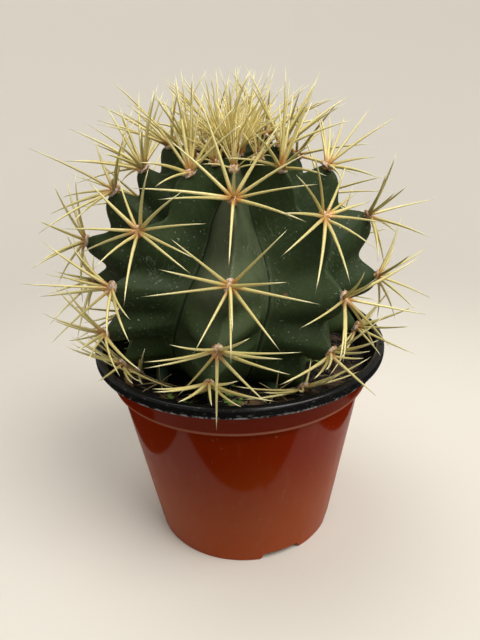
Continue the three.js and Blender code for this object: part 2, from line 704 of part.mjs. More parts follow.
// The root neck up to a height, grown by margin for the hole it stands in.
function rootNeck(top, margin = 0) {
  const foot = ROOT_Z - margin;
  const shoulder = SOIL_Z - ROOT_TAPER_DEPTH - margin;
  return turned([
    [0, foot],
    [ROOT_RADIUS * ROOT_TAPER + margin, foot],
    [ROOT_RADIUS + margin, shoulder],
    [ROOT_RADIUS + margin, top],
    [0, top],
  ], ROOT_SEGMENTS).translate(STEM_FOOT.x, STEM_FOOT.y, 0);
}

function makeCactus() {
  const wide = 4 * STEM_RADIUS;
  const below = new THREE.BoxGeometry(wide, wide, SOIL_Z).translate(0, 0, SOIL_Z / 2 + GAP);
  const body = solid(ribbedGlobe()).subtract(solid(below)).subtract(solid(tuft(GAP)));
  const parts = [body, solid(rootNeck(SOIL_Z + ROOT_SINK))];
  for (const areole of areoles) {
    parts.push(solid(pad(areole)));
    for (const spine of spinesOf(areole, stemRandom).slice(0, SOLID_SPINES)) {
      parts.push(spineSolid(spine));
    }
  }
  return geometryOf(fused(parts));
}

// ---- soil ---------------------------------------------------------------------------------------

function soilHeight(x, y) {
  const wave = Math.sin(x * 0.31 + 1.2) * Math.cos(y * 0.27) + 0.6 * Math.sin(x * 0.11 - y * 0.17);
  return SOIL_Z - SOIL_DROP + SOIL_WAVE * wave;
}

// A bark chip: a flat block with its ends cut askew, lying in the soil.
function chip(x, y, turn, length, random) {
  const width = length * within(CHIP_WIDTH, random());
  const skew = length * CHIP_SKEW;
  const outline = new THREE.Shape([
    new THREE.Vector2(-length / 2, -width / 2),
    new THREE.Vector2(length / 2 - skew, -width / 2),
    new THREE.Vector2(length / 2, width / 2),
    new THREE.Vector2(-length / 2 + skew, width / 2),
  ]);
  return new THREE.ExtrudeGeometry(outline, { depth: CHIP_HEIGHT, bevelEnabled: false })
    .rotateX(CHIP_TILT * (2 * random() - 1))
    .rotateZ(turn)
    .translate(x, y, soilHeight(x, y) - CHIP_SINK);
}

// The soil without its chips: it follows the inside of the pot and has an uneven top.
function soilBed() {
  const top = SOIL_Z + SOIL_MARGIN;
  const bed = turned([...potInside(GAP), ...SOIL_RINGS.map((r) => [r, top])], SOIL_SEGMENTS);
  const at = bed.attributes.position;
  for (let i = 0; i < at.count; i += 1) {
    if (at.getZ(i) === top) at.setZ(i, soilHeight(at.getX(i), at.getY(i)));
  }
  return bed;
}

function makeSoil() {
  const random = seeded(911);
  const edge = SOIL_RINGS[0];
  const parts = [solid(soilBed())];
  while (parts.length <= CHIP_COUNT) {
    const middle = polar(edge * within(CHIP_PLACES, random()), 360 * random(), SOIL_Z + SOIL_MARGIN / 2);
    const length = within(CHIP_LENGTH, random());
    const turn = Math.PI * random();
    const underStem = insideStem(middle, 2 + length / 2);
    if (underStem || Math.hypot(middle.x, middle.y) + length / 2 > edge - 1) continue;
    parts.push(solid(chip(middle.x, middle.y, turn, length, random)));
  }
  return geometryOf(fused(parts).subtract(solid(rootNeck(POT_HEIGHT, GAP))));
}

// ---- assembly -----------------------------------------------------------------------------------

function piece(name, geometry, color, roughness) {
  const mesh = new THREE.Mesh(geometry, new THREE.MeshStandardMaterial({ color, roughness, metalness: 0 }));
  mesh.name = name;
  return mesh;
}

const cactus = new THREE.Group();
cactus.add(piece('pot', makePot(), 0x7a3824, 0.4));
cactus.add(piece('soil', makeSoil(), 0x1d1712, 0.95));
cactus.add(piece('cactus', makeCactus(), 0x3d5240, 0.55));
cactus.add(piece('crown', makeCrown(), 0xd9c878, 0.6));

export default cactus;
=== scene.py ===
import math

import bmesh
import bpy
import numpy as np
from bpy.props import FloatProperty, FloatVectorProperty, IntProperty, PointerProperty
from mathutils import Euler, Matrix, Vector, noise


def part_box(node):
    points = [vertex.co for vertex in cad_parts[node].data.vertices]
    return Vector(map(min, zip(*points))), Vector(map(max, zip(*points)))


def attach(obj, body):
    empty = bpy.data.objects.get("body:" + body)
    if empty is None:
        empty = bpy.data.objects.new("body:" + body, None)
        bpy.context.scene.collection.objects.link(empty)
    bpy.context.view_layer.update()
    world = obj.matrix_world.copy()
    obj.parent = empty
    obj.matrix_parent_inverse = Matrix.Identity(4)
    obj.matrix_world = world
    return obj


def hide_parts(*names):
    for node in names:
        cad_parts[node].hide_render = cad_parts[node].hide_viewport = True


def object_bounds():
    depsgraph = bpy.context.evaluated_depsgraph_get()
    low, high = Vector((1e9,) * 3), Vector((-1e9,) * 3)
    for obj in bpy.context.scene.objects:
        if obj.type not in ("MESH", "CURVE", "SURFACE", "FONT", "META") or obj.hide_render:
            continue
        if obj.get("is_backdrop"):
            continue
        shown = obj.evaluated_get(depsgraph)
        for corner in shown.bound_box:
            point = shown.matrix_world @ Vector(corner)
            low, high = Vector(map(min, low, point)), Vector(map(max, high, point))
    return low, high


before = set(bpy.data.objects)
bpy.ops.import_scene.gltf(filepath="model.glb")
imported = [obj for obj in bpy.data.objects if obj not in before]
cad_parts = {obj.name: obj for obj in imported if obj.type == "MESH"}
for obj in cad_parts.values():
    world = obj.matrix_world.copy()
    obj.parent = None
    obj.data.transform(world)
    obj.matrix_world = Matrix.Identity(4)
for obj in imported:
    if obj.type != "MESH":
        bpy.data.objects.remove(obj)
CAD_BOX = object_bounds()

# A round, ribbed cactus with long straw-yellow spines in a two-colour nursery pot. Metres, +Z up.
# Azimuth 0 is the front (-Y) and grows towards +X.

bl_info = {
    "name": "Potted round cactus",
    "version": (1, 0, 0),
    "blender": (4, 5, 0),
    "location": "View3D > Sidebar > Cactus",
    "description": "Builds a ribbed globe cactus with long spines in a nursery pot",
    "category": "Add Mesh",
}

MM = 0.001

# Latitudes of the areoles on each rib, in degrees, from the crown down.
AREOLES = (
    (56, 27, 4, -13),
    (63, 40, 11, -11, -34),
    (67, 47, 21, -5, -29, -50),
    (60, 37, 13, -11, -34, -55),
    (74, 51, 28, 4, -20, -43, -60),
    (64, 40, 16, -8, -31, -54),
    (76, 60, 46, 18, -6, -29, -50),
    (69, 42, 20, -2, -26, -37),
)
RADIAL_PAIRS = (24, 53, 81, 101, 145)   # degrees to each side of the way up; one pair is missing
CENTRAL = "central"                     # place of the spine in the middle of a pad
# Spines of the areoles in front: degrees round from the way up, rise in degrees, millimetres.
# Each list is under the rib and the latitude of its areole.
FRONT_SPINES = {
    (0, 56): (
        (-90, 15, 38), (-19, 34, 37), (-50, 23, 33), (41, 29, 33), (78, 34, 32), (100, 25, 33),
        (-110, 30, 33), (131, 24, 34), (-173, 11, 34), (-177, 73, 36),
    ),
    (0, 27): (
        (93, 23, 34), (-103, 25, 34), (134, 31, 32), (37, 32, 32), (172, 35, 31), (-158, 37, 31),
        (-57, 38, 32), (-82, 39, 31), (169, 54, 32), (75, 53, 33),
    ),
    (0, 4): (
        (62, 19, 34), (167, 20, 32), (72, 32, 32), (-92, 39, 31), (-85, 39, 32), (140, 6, 30),
        (54, 36, 32), (-158, -6, 30), (-53, 46, 33), (22, 41, 32),
    ),
    (0, -13): (
        (59, 22, 28), (-60, 32, 28), (-59, 35, 28), (174, 12, 27), (34, 42, 28), (-32, 48, 29),
        (20, 25, 28), (4, 49, 29), (101, 18, 27),
    ),
    (1, 63): (
        (53, 53, 41), (22, 50, 39), (38, 36, 33), (57, 35, 33), (31, 21, 32), (-162, 35, 33),
        (-88, 19, 34), (-142, 51, 36), (-92, 43, 34),
    ),
    (1, 40): (
        (-134, 1, 36), (-149, 17, 34), (-38, 45, 33), (-103, 3, 34), (-153, 45, 33), (113, 2, 32),
        (57, 2, 32), (-59, 35, 33), (92, -4, 32), (-81, 19, 34), (80, -10, 32),
    ),
    (1, 11): (
        (58, 30, 34), (106, 38, 35), (-128, 31, 33), (-130, 33, 32), (138, 15, 32), (143, 4, 32),
        (-97, 11, 34), (-50, 51, 36), (-48, 44, 34),
    ),
    (1, -11): (
        (-104, 1, 30), (159, 33, 28), (-10, 40, 28), (145, 16, 28), (-18, 27, 28), (-27, 43, 29),
        (-81, 25, 28), (-68, 29, 28), (24, 18, 27),
    ),
    (2, 47): (
        (144, 61, 40), (105, 54, 38), (53, 30, 33), (69, 25, 33), (-110, 22, 33), (90, 37, 34),
        (78, 29, 33), (139, 25, 33), (-87, 5, 33),
    ),
    (2, 21): (
        (127, 63, 36), (-118, 36, 34), (-32, 37, 34), (156, -5, 33), (-109, -8, 34),
        (-66, 33, 34), (-50, 23, 33), (-67, 23, 33), (131, 17, 33),
    ),
    (2, -5): (
        (134, 59, 36), (59, 50, 35), (-100, 23, 33), (150, 27, 33), (146, 10, 33), (-56, 15, 32),
        (70, 21, 33), (97, 26, 33), (24, 18, 31),
    ),
    (7, 69): (
        (-33, 50, 38), (-18, 46, 35), (-12, 39, 33), (-52, 39, 33), (-69, 31, 32), (167, 47, 34),
        (154, 32, 33), (24, 33, 31), (53, 33, 31),
    ),
    (7, 42): (
        (142, 14, 34), (-118, 19, 32), (65, 6, 34), (96, 3, 35), (-77, 13, 32), (87, 5, 34),
        (-131, -1, 31), (31, 45, 33), (50, 26, 33), (144, 47, 33), (-60, -3, 31),
    ),
    (7, 20): (
        (-116, 42, 37), (-81, 29, 34), (-169, 30, 34), (-128, 27, 33), (94, 21, 33), (-88, 0, 32),
        (94, 36, 33), (-113, 7, 32), (76, 25, 33),
    ),
    (7, -2): (
        (-101, 25, 33), (71, 4, 34), (-113, 18, 32), (69, 19, 33), (-135, 14, 32), (49, 35, 33),
        (38, 37, 34), (-24, 18, 31), (-53, 18, 31),
    ),
    (6, 18): (
        (161, -7, 34), (2, 29, 34), (-69, 30, 33), (80, 30, 34), (38, 34, 34), (177, 19, 33),
        (69, 23, 33), (-148, -14, 34), (-24, 18, 31),
    ),
}
NOTCHES = (-80, 21.5, 75, 176.5, 228)   # azimuths of the notches in the foot ring
GOLDEN_ANGLE = 137.508
UP = (0.0, 0.0, 1.0)
FACTOR, PRIME = 48271, 2147483647       # of the random numbers
# Seeds of draws that no property changes.
SEEDS = {
    "looks": 331, "crown looks": 77, "young stars": 5150, "fibres": 4409, "chips": 911,
    "dried stars": 86, "weeds": 1283,
}


# ---- Sizes and colours

def length(name, description, millimetres):
    return FloatProperty(
        name=name, description=description, default=millimetres * MM, unit="LENGTH", precision=4
    )


def angle(name, description, degrees):
    return FloatProperty(
        name=name, description=description, default=math.radians(degrees), subtype="ANGLE"
    )


def share(name, description, default):
    return FloatProperty(name=name, description=description, default=default, min=0.0)


def count(name, description, default):
    return IntProperty(name=name, description=description, default=default, min=0)


def colour(name, description, rgb):
    return FloatVectorProperty(
        name=name, description=description, default=rgb, size=3, min=0.0, max=1.0, subtype="COLOR"
    )


class CACTUS_PG_pot(bpy.types.PropertyGroup):
    rim_radius: length("Rim radius", "Outside of the rolled rim", 75)
    height: length("Height", "From the surface it stands on to the top of the rim", 109)
    lip_height: length("Lip height", "How far the rolled rim hangs down outside", 5.2)
    lip_width: length("Lip width", "Across the top of the rolled rim", 4.4)
    lip_step: length("Lip step", "How far the rolled rim stands out over the band", 0.4)
    band_top: length("Band top radius", "The band under the rim, at its top", 73.2)
    band_bottom: length("Band bottom radius", "The band under the rim, at its lower edge", 67.4)
    band_z: length("Band height", "Lower edge of the band above the surface", 91)
    wall_top: length("Wall top radius", "The wall just under the band", 64.4)
    base_radius: length("Base radius", "The wall at the base", 49.2)
    wall: length("Wall", "Thickness of the wall", 1.5)
    floor_z: length("Base height", "Underside of the raised base", 4.2)
    foot_width: length("Foot width", "Width of the foot ring", 2.4)
    notch_angle: angle("Notch angle", "Width of a notch in the foot ring", 27)
    notch_slope: length("Notch slope", "How far each side of a notch slopes", 2.4)
    drain_radius: length("Drain radius", "Radius of a drainage hole", 4.2)
    drain_circle: length("Drain circle", "Radius of the circle of drainage holes", 37)


class CACTUS_PG_soil(bpy.types.PropertyGroup):
    level: length("Level", "Height of the soil above the surface the pot stands on", 95)
    chips: count("Bark chips", "Larger bark chips in the top of the soil", 30)
    fibres: count("Fibres", "Dry roots and fibres on the mix", 150)
    crumb_size: length("Crumb size", "Largest size of a crumb of peat", 3.0)
    crumb_density: share("Crumb density", "Crumbs for each square metre of soil", 240000.0)
    seed: count("Seed", "Changes where the crumbs lie", 5)


class CACTUS_PG_stem(bpy.types.PropertyGroup):
    centre: FloatVectorProperty(
        name="Centre", description="Middle of the globe", size=3, subtype="TRANSLATION",
        unit="LENGTH", default=(-3.1 * MM, -1.7 * MM, 146.5 * MM),
    )
    lean_forward: angle("Lean forward", "How far the crown leans to the front", 12.2)
    lean_side: angle("Lean aside", "How far the crown leans to the right", -2.2)
    radius: length("Radius", "Radius of the globe over the crests", 72.6)
    half_height: length("Half height", "From the middle of the globe to its top", 65.2)
    shoulder: share("Shoulder", "Power of the cosine of the latitude in the outline", 1.06)
    rib_azimuth: angle("Rib azimuth", "Crest of the front rib at the crown", 9.3)
    rib_twist: angle("Rib twist", "How much a crest turns from the crown to the middle", -15.2)
    furrow_depth: length("Furrow depth", "How deep the furrows are round the middle", 22.8)
    furrow_rise: share("Furrow rise", "How much deeper they are above the middle", 1.66)
    furrow_foot: share("Furrow foot", "How much shallower they are at the foot", 0.33)
    crest_round: share("Crest rounding", "Rounding of a crest as a share of half a rib", 0.05)
    nose_round: share("Nose rounding", "How much rounder a crest is at an areole", 1.4)
    flank_power: share("Flank power", "Under 1 the flanks are hollow, over 1 they bulge", 0.66)
    hollowing: share("Hollowing", "How much is taken off the flank power in a dip", 0.05)
    flank_foot: share("Flank foot", "How much less the flank power is at the foot", 0.55)
    scallop_depth: length("Scallop depth", "How far a crest dips between two areoles", 9)
    scallop_low: share("Low scallops", "How much deeper the dips are near the soil", 0.7)
    scallop_fade: share("Scallop fade", "Cosine of the latitude from where the dips fade", 0.6)
    scallop_lean: share("Scallop lean", "More than 1 puts the dips close over the lower areole", 1.45)
    crown_dip: length("Crown dip", "How far the middle of the crown is sunken", 9)
    crown_right: length("Crown right", "How far the middle of the crown lies to the right", 6)
    crown_back: length("Crown back", "How far the middle of the crown lies to the back", 4.5)
    crown_latitude: angle("Crown latitude", "Where the sunken crown starts", 58)


class CACTUS_PG_spines(bpy.types.PropertyGroup):
    seed: count("Seed", "Changes how the spines of the stem are drawn", 20611)
    length: length("Length", "Mean length of a spine", 36)
    radius: length("Radius", "Radius of a spine at its root", 0.85)
    rise: angle("Rise", "How steeply the spines stand off the stem", 22)
    central_rise: angle("Central rise", "The same for the central spine", 66)
    low_share: share("Low share", "Share of the length that spines near the soil have", 0.85)
    bow: share("Bow", "How far a spine bows out, as a share of its length", 0.035)
    taper: share("Taper", "Power of a spine's taper: less keeps it thick for longer", 0.62)
    pad_radius: length("Pad radius", "Radius of a felt pad", 3.6)
    pad_height: length("Pad height", "Height of a felt pad", 1.7)
    felt_length: length("Felt length", "Length of the felt hairs on a pad", 0.9)


class CACTUS_PG_crown(bpy.types.PropertyGroup):
    seed: count("Seed", "Changes how the spines of the crown are drawn", 7717)
    radius: length("Radius", "Radius of the felt cushion", 7)
    height: length("Height", "Height of the felt cushion", 4)
    spines: count("Spines", "Number of young spines", 64)
    buds: count("Buds", "Young areoles that share the spines", 8)
    spine_radius: length("Spine radius", "Radius of a young spine at its root", 0.66)
    fine_spines: count("Fine spines", "Thin spines of the areoles round the middle", 88)


class CACTUS_PG_colours(bpy.types.PropertyGroup):
    terracotta: colour("Terracotta", "Outside of the pot", (0.206, 0.0125, 0.0))
    # Painted light: the lower wall is lighter, for the light thrown up from the floor.
    terracotta_lit_foot: colour("Terracotta low", "Outside of the pot near its foot", (0.2875, 0.0417, 0.0))
    pot_black: colour("Pot black", "Rolled rim and inside of the pot", (0.006, 0.006, 0.006))
    skin: colour("Skin", "Flanks of the ribs", (0.0195, 0.037, 0.0092))
    # Bloom is also painted over the upper front ribs as a sheen that stands in for the light from above.
    bloom: colour("Bloom", "Waxy bloom on the crests", (0.073, 0.101, 0.040))
    young_skin: colour("Young skin", "Lighter green low on the stem", (0.0458, 0.08, 0.0217))
    straw: colour("Straw", "Middle of a spine", (0.86, 0.76, 0.31))
    straw_tip: colour("Straw tip", "Tip of a spine", (0.92, 0.85, 0.48))
    young_straw: colour("Young straw", "Young spines of the crown", (1.0, 0.87, 0.37))
    amber: colour("Amber", "Root of a spine", (0.62, 0.31, 0.08))
    felt: colour("Felt", "Wool of the areoles", (0.666, 0.54, 0.414))
    peat: colour("Peat", "Potting mix", (0.006, 0.004, 0.0025))
    bark: colour("Bark", "Bark chips", (0.1333, 0.0708, 0.0333))
    weed: colour("Weed", "Small green plants in the pot", (0.07, 0.14, 0.025))
    floor: colour("Floor", "The pale floor where it rises behind", (0.585, 0.557, 0.501))
    # Painted light: this lighter colour round the pot is a painted pool of light.
    table: colour("Table", "The pale floor round the pot", (0.725, 0.692, 0.625))


class CACTUS_PG_stage(bpy.types.PropertyGroup):
    camera: FloatVectorProperty(
        name="Camera", description="Place of the camera", size=3, subtype="TRANSLATION",
        unit="LENGTH", default=(0.68 * MM, -284.15 * MM, 240.07 * MM),
    )
    pitch: angle("Pitch", "How far the camera looks down", 23.43)
    roll: angle("Roll", "How far the camera is turned about its view", -2.053)
    lens: FloatProperty(
        name="Lens", description="Focal length", default=33.19, subtype="DISTANCE_CAMERA"
    )
    lamp: FloatProperty(name="Lamp", description="Power of the overhead softbox", default=25.0, unit="POWER")
    ambient: FloatProperty(name="Ambient", description="Strength of the sky light", default=0.32)


# ---- Node trees

VECTOR = "FLOAT_VECTOR"
SPECULAR = "Specular IOR Level"


def maths(operation, swapped=False):
    """A method for Link that adds one Math node."""
    def method(self, *others):
        values = (*others, self) if swapped else (self, *others)
        return self.graph.add("ShaderNodeMath", values, operation=operation)
    return method


class Link:
    """An output socket of a node tree, with Python's operators for the maths on it."""

    __add__ = __radd__ = maths("ADD")
    __mul__ = __rmul__ = maths("MULTIPLY")
    __sub__, __rsub__ = maths("SUBTRACT"), maths("SUBTRACT", swapped=True)
    __truediv__, __rtruediv__ = maths("DIVIDE"), maths("DIVIDE", swapped=True)
    __pow__ = maths("POWER")
    at_least, at_most, is_over = maths("MAXIMUM"), maths("MINIMUM"), maths("GREATER_THAN")
    sin, cos, size = maths("SINE"), maths("COSINE"), maths("ABSOLUTE")

    def __init__(self, graph, socket):
        self.graph, self.socket = graph, socket

    def __neg__(self):
        return self * -1.0

    def step(self, low, high):
        """0 under low and 1 over high, with a smooth way between them."""
        return self.graph.add(
            "ShaderNodeMapRange", {"Value": self, "From Min": low, "From Max": high},
            interpolation_type="SMOOTHSTEP",
        )

    def part(self, axis):
        return self.graph.add("ShaderNodeSeparateXYZ", (self,), out=axis)

    def other(self, out):
        """Another output of the same node."""
        return Link(self.graph, self.socket.node.outputs[out])


class Graph:
    """A node tree that is being written."""

    def __init__(self, tree):
        self.tree = tree

    def add(self, kind, sockets=(), out=0, **settings):
        """Adds a node: its settings first, then the values or links of its sockets."""
        node = self.tree.nodes.new(kind)
        for name, value in settings.items():
            setattr(node, name, value)
        for key, value in sockets.items() if isinstance(sockets, dict) else enumerate(sockets):
            if isinstance(value, Link):
                self.tree.links.new(value.socket, node.inputs[key])
            elif value is not None:
                node.inputs[key].default_value = value
        return Link(self, node.outputs[out])

    def vector(self, x, y, z):
        return self.add("ShaderNodeCombineXYZ", (x, y, z))

    def vectors(self, operation, *sockets, out=0):
        return self.add("ShaderNodeVectorMath", sockets, out=out, operation=operation)

    def scaled(self, vector, factor):
        return self.add("ShaderNodeVectorMath", {0: vector, "Scale": factor}, operation="SCALE")

    def noise(self, place, scale, detail=2.0, roughness=0.5, distortion=0.0, out=0):
        return self.add("ShaderNodeTexNoise", {
            "Vector": place, "Scale": scale, "Detail": detail, "Roughness": roughness,
            "Distortion": distortion,
        }, out=out)

    def read(self, name, kind="FLOAT"):
        """A stored attribute, in a material or in a geometry tree."""
        if self.tree.bl_idname == "GeometryNodeTree":
            return self.add("GeometryNodeInputNamedAttribute", (name,), data_type=kind)
        out = "Fac" if kind == "FLOAT" else "Vector"
        return self.add("ShaderNodeAttribute", out=out, attribute_name=name)

    # In a material.

    def here(self):
        return self.add("ShaderNodeTexCoord", out="Object")

    def mix(self, factor, first, second):
        """Mixes two colours, given as links or as red, green and blue."""
        first, second = (c if isinstance(c, Link) else (*c, 1.0) for c in (first, second))
        return self.add("ShaderNodeMix", {0: factor, 6: first, 7: second}, out=2, data_type="RGBA")

    def layers(self, colour, *coats):
        """Lays coats over a colour, each given as its amount and its own colour."""
        for amount, coat in coats:
            colour = self.mix(amount, colour, coat)
        return colour

    def bump(self, height, strength, distance):
        return self.add("ShaderNodeBump", {"Strength": strength, "Distance": distance, "Height": height})

    # In a geometry tree.

    def place(self):
        return self.add("GeometryNodeInputPosition")

    def store(self, geometry, name, value):
        return self.add("GeometryNodeStoreNamedAttribute", {
            "Geometry": geometry, "Name": name, "Value": value,
        }, data_type="FLOAT", domain="POINT")

    def moved(self, geometry, position=None, offset=None):
        return self.add("GeometryNodeSetPosition", {
            "Geometry": geometry, "Position": position, "Offset": offset,
        })

    def roughened(self, geometry, scale, amount, detail=2.0):
        """Pushes every point its own way, by up to half an amount along each axis."""
        wobble = self.noise(self.place(), scale, detail, out="Color")
        push = self.scaled(self.vectors("SUBTRACT", wobble, (0.5, 0.5, 0.5)), amount)
        return self.moved(geometry, offset=push)

    def random(self, low, high, seed):
        """A random number, or a random vector when low is one, for each element."""
        if isinstance(low, tuple):
            return self.add("FunctionNodeRandomValue", {0: low, 1: high, "Seed": seed}, data_type=VECTOR)
        return self.add("FunctionNodeRandomValue", {2: low, 3: high, "Seed": seed}, out=1,
                        data_type="FLOAT")

    def turned(self, angles):
        return self.add("FunctionNodeEulerToRotation", (angles,))

    def facing(self, way, start=None, axis="Z", **settings):
        """The rotation that brings an axis to a direction."""
        return self.add("FunctionNodeAlignRotationToVector", {"Vector": way, "Rotation": start},
                        axis=axis, **settings)

    def ball(self, subdivisions, radius=1.0):
        return self.add("GeometryNodeMeshIcoSphere", {"Radius": radius, "Subdivisions": subdivisions})

    def cone(self, sides, segments, radius=1.0, depth=1.0):
        return self.add("GeometryNodeMeshCone", {
            "Vertices": sides, "Side Segments": segments, "Fill Segments": 1, "Radius Top": 0.0,
            "Radius Bottom": radius, "Depth": depth,
        }, fill_type="NGON")

    def scattered(self, mesh, density, seed, selection=None):
        return self.add("GeometryNodeDistributePointsOnFaces", {
            "Mesh": mesh, "Selection": selection, "Density": density, "Seed": seed,
        })

    def set_on(self, points, shape, turn, scale):
        """Sets a turned and scaled shape on each point, as real geometry."""
        shapes = self.add("GeometryNodeInstanceOnPoints", {
            "Points": points, "Instance": shape, "Rotation": turn, "Scale": scale,
        })
        return self.add("GeometryNodeRealizeInstances", {"Geometry": shapes})


SOCKETS = {
    float: "NodeSocketFloat", int: "NodeSocketInt", tuple: "NodeSocketVector",
    bpy.types.Material: "NodeSocketMaterial",
}


def new_tree(name, inputs):
    """A geometry tree with a geometry input and the named inputs. Returns its graph and their links."""
    tree = bpy.data.node_groups.new(name, "GeometryNodeTree")
    for way in ("INPUT", "OUTPUT"):
        tree.interface.new_socket("Geometry", in_out=way, socket_type="NodeSocketGeometry")
    for label, value in inputs.items():
        tree.interface.new_socket(label, in_out="INPUT", socket_type=SOCKETS[type(value)])
    graph = Graph(tree)
    ports = tree.nodes.new("NodeGroupInput").outputs
    return graph, {port.name: Link(graph, port) for port in ports if port.name}


def close_tree(graph, geometry, material, smooth=True):
    """Ends a tree: real geometry, its shading and its material."""
    real = graph.add("GeometryNodeRealizeInstances", {"Geometry": geometry})
    shaded = graph.add("GeometryNodeSetShadeSmooth", {"Geometry": real, "Shade Smooth": smooth})
    dressed = graph.add("GeometryNodeSetMaterial", {"Geometry": shaded, "Material": material})
    end = graph.tree.nodes.new("NodeGroupOutput")
    graph.tree.links.new(dressed.socket, end.inputs[0])


def inputs_of(group):
    """The numbers and vectors of a property group, under the names of its properties."""
    found = {item.name: getattr(group, key) for key, item in group.bl_rna.properties.items()
             if item.type == "FLOAT"}
    return {name: value if isinstance(value, float) else tuple(value) for name, value in found.items()}


def grow(name, slot, write, base, inputs, *nodes):
    """Runs a geometry tree on a mesh and hands the result to the frame as a plain mesh."""
    graph, ports = new_tree(name, inputs)
    write(graph, ports)
    piece = new_object(name, base)
    modifier = piece.modifiers.new(name, "NODES")
    modifier.node_group = graph.tree
    for item in graph.tree.interface.items_tree:
        if item.in_out == "INPUT" and item.name in inputs:
            modifier[item.identifier] = inputs[item.name]
    apply(piece, modifier)
    if not piece.data.polygons:
        raise RuntimeError(f"{name} came out empty")
    settle(piece, slot, *nodes)


def apply(piece, modifier):
    """Keeps what a modifier makes of a piece as its plain mesh, and removes the modifier."""
    depsgraph = bpy.context.evaluated_depsgraph_get()
    result = bpy.data.meshes.new_from_object(
        piece.evaluated_get(depsgraph), preserve_all_data_layers=True, depsgraph=depsgraph
    )
    piece.modifiers.remove(modifier)
    piece.data = result
    result.name = piece.name


def material(name, paint, *values, **constants):
    """A Principled material: paint gives what changes over the surface, constants the rest."""
    made = bpy.data.materials.new(name)
    made.use_nodes = True
    shader = made.node_tree.nodes["Principled BSDF"]
    for socket, value in constants.items():
        shader.inputs[socket].default_value = value
    for socket, value in paint(Graph(made.node_tree), *values).items():
        made.node_tree.links.new(value.socket, shader.inputs[socket])
    return made


# ---- Meshes

def new_mesh(name, points, faces=(), **attributes):
    """A plain mesh. An attribute is one number, or a number or a vector for each point."""
    mesh = bpy.data.meshes.new(name)
    mesh.from_pydata([tuple(p) for p in points], [], faces)
    mesh.polygons.foreach_set("use_smooth", [True] * len(mesh.polygons))
    for key, values in attributes.items():
        values = np.asarray(values, float)
        vector = values.ndim == 2
        if values.ndim == 0:
            values = np.full(len(points), values)
        layer = mesh.attributes.new(key, VECTOR if vector else "FLOAT", "POINT")
        layer.data.foreach_set("vector" if vector else "value", values.ravel())
    mesh.update()
    return mesh


def new_object(name, mesh, *materials):
    for item in materials:
        mesh.materials.append(item)
    made = bpy.data.objects.new(name, mesh)
    bpy.context.scene.collection.objects.link(made)
    return made


def joined(shapes):
    """Puts shapes, each given as its points and faces, into one list of points and one of faces."""
    points, faces = [], []
    for more, sides in shapes:
        faces += [tuple(len(points) + i for i in face) for face in sides]
        points += more
    return points, faces


def rounded(corners, steps=5):
    """An outline of (radius, height, rounding) corners with an arc at each corner that has one.

    Returns its points as (radius, height) and the corner that each comes from.
    """
    flat = [Vector(corner[:2]) for corner in corners]
    outline, sources = [], []
    for i, here in enumerate(flat):
        arc = [here]
        size = corners[i][2]
        if size and 0 < i < len(corners) - 1:
            back, ahead = flat[i - 1] - here, flat[i + 1] - here
            reach = min(size, back.length * 0.48, ahead.length * 0.48)
            start, end = here + back.normalized() * reach, here + ahead.normalized() * reach
            shares = [step / steps for step in range(steps + 1)]
            arc = [start * (1 - t) ** 2 + here * 2 * t * (1 - t) + end * t * t for t in shares]
        outline += [tuple(point) for point in arc]
        sources += [i] * len(arc)
    return outline, sources


def lathed(outline, segments):
    """Turns an outline about Z. Returns points, faces and the outline step of each face."""
    points, rings = [], []
    for r, z in outline:
        around = segments if r > 1e-7 else 1
        rings.append([len(points) + i % around for i in range(segments + 1)])
        turns = [2 * math.pi * i / segments for i in range(around)]
        points += [(r * math.sin(a), -r * math.cos(a), z) for a in turns]
    faces, steps = [], []
    for step, (low, high) in enumerate(zip(rings, rings[1:])):
        for i in range(segments):
            corners = (low[i], low[i + 1], high[i + 1], high[i])
            faces.append(tuple(dict.fromkeys(corners)))
            steps.append(step)
    return points, faces, steps


def settle(piece, slot, *nodes):
    """Hands a finished piece to the frame, in place of the CAD nodes it stands for."""
    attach(piece, "root")
    if nodes:
        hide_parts(*nodes)


# ---- The rule of growth

def seeded(seed):
    """Repeatable random numbers in 0..1, one for each call."""
    state = seed

    def draw():
        nonlocal state
        state = state * FACTOR % PRIME
        return state / PRIME

    return draw


def polar(radius, azimuth, z=0.0):
    a = np.radians(azimuth)
    return np.stack(np.broadcast_arrays(radius * np.sin(a), -radius * np.cos(a), z), axis=-1)


def unit(v):
    return v / np.linalg.norm(v, axis=-1, keepdims=True)


def turned_to(direction):
    """The matrix that turns the Z axis to a direction."""
    return np.array(Vector((0, 0, 1)).rotation_difference(Vector(direction)).to_matrix())


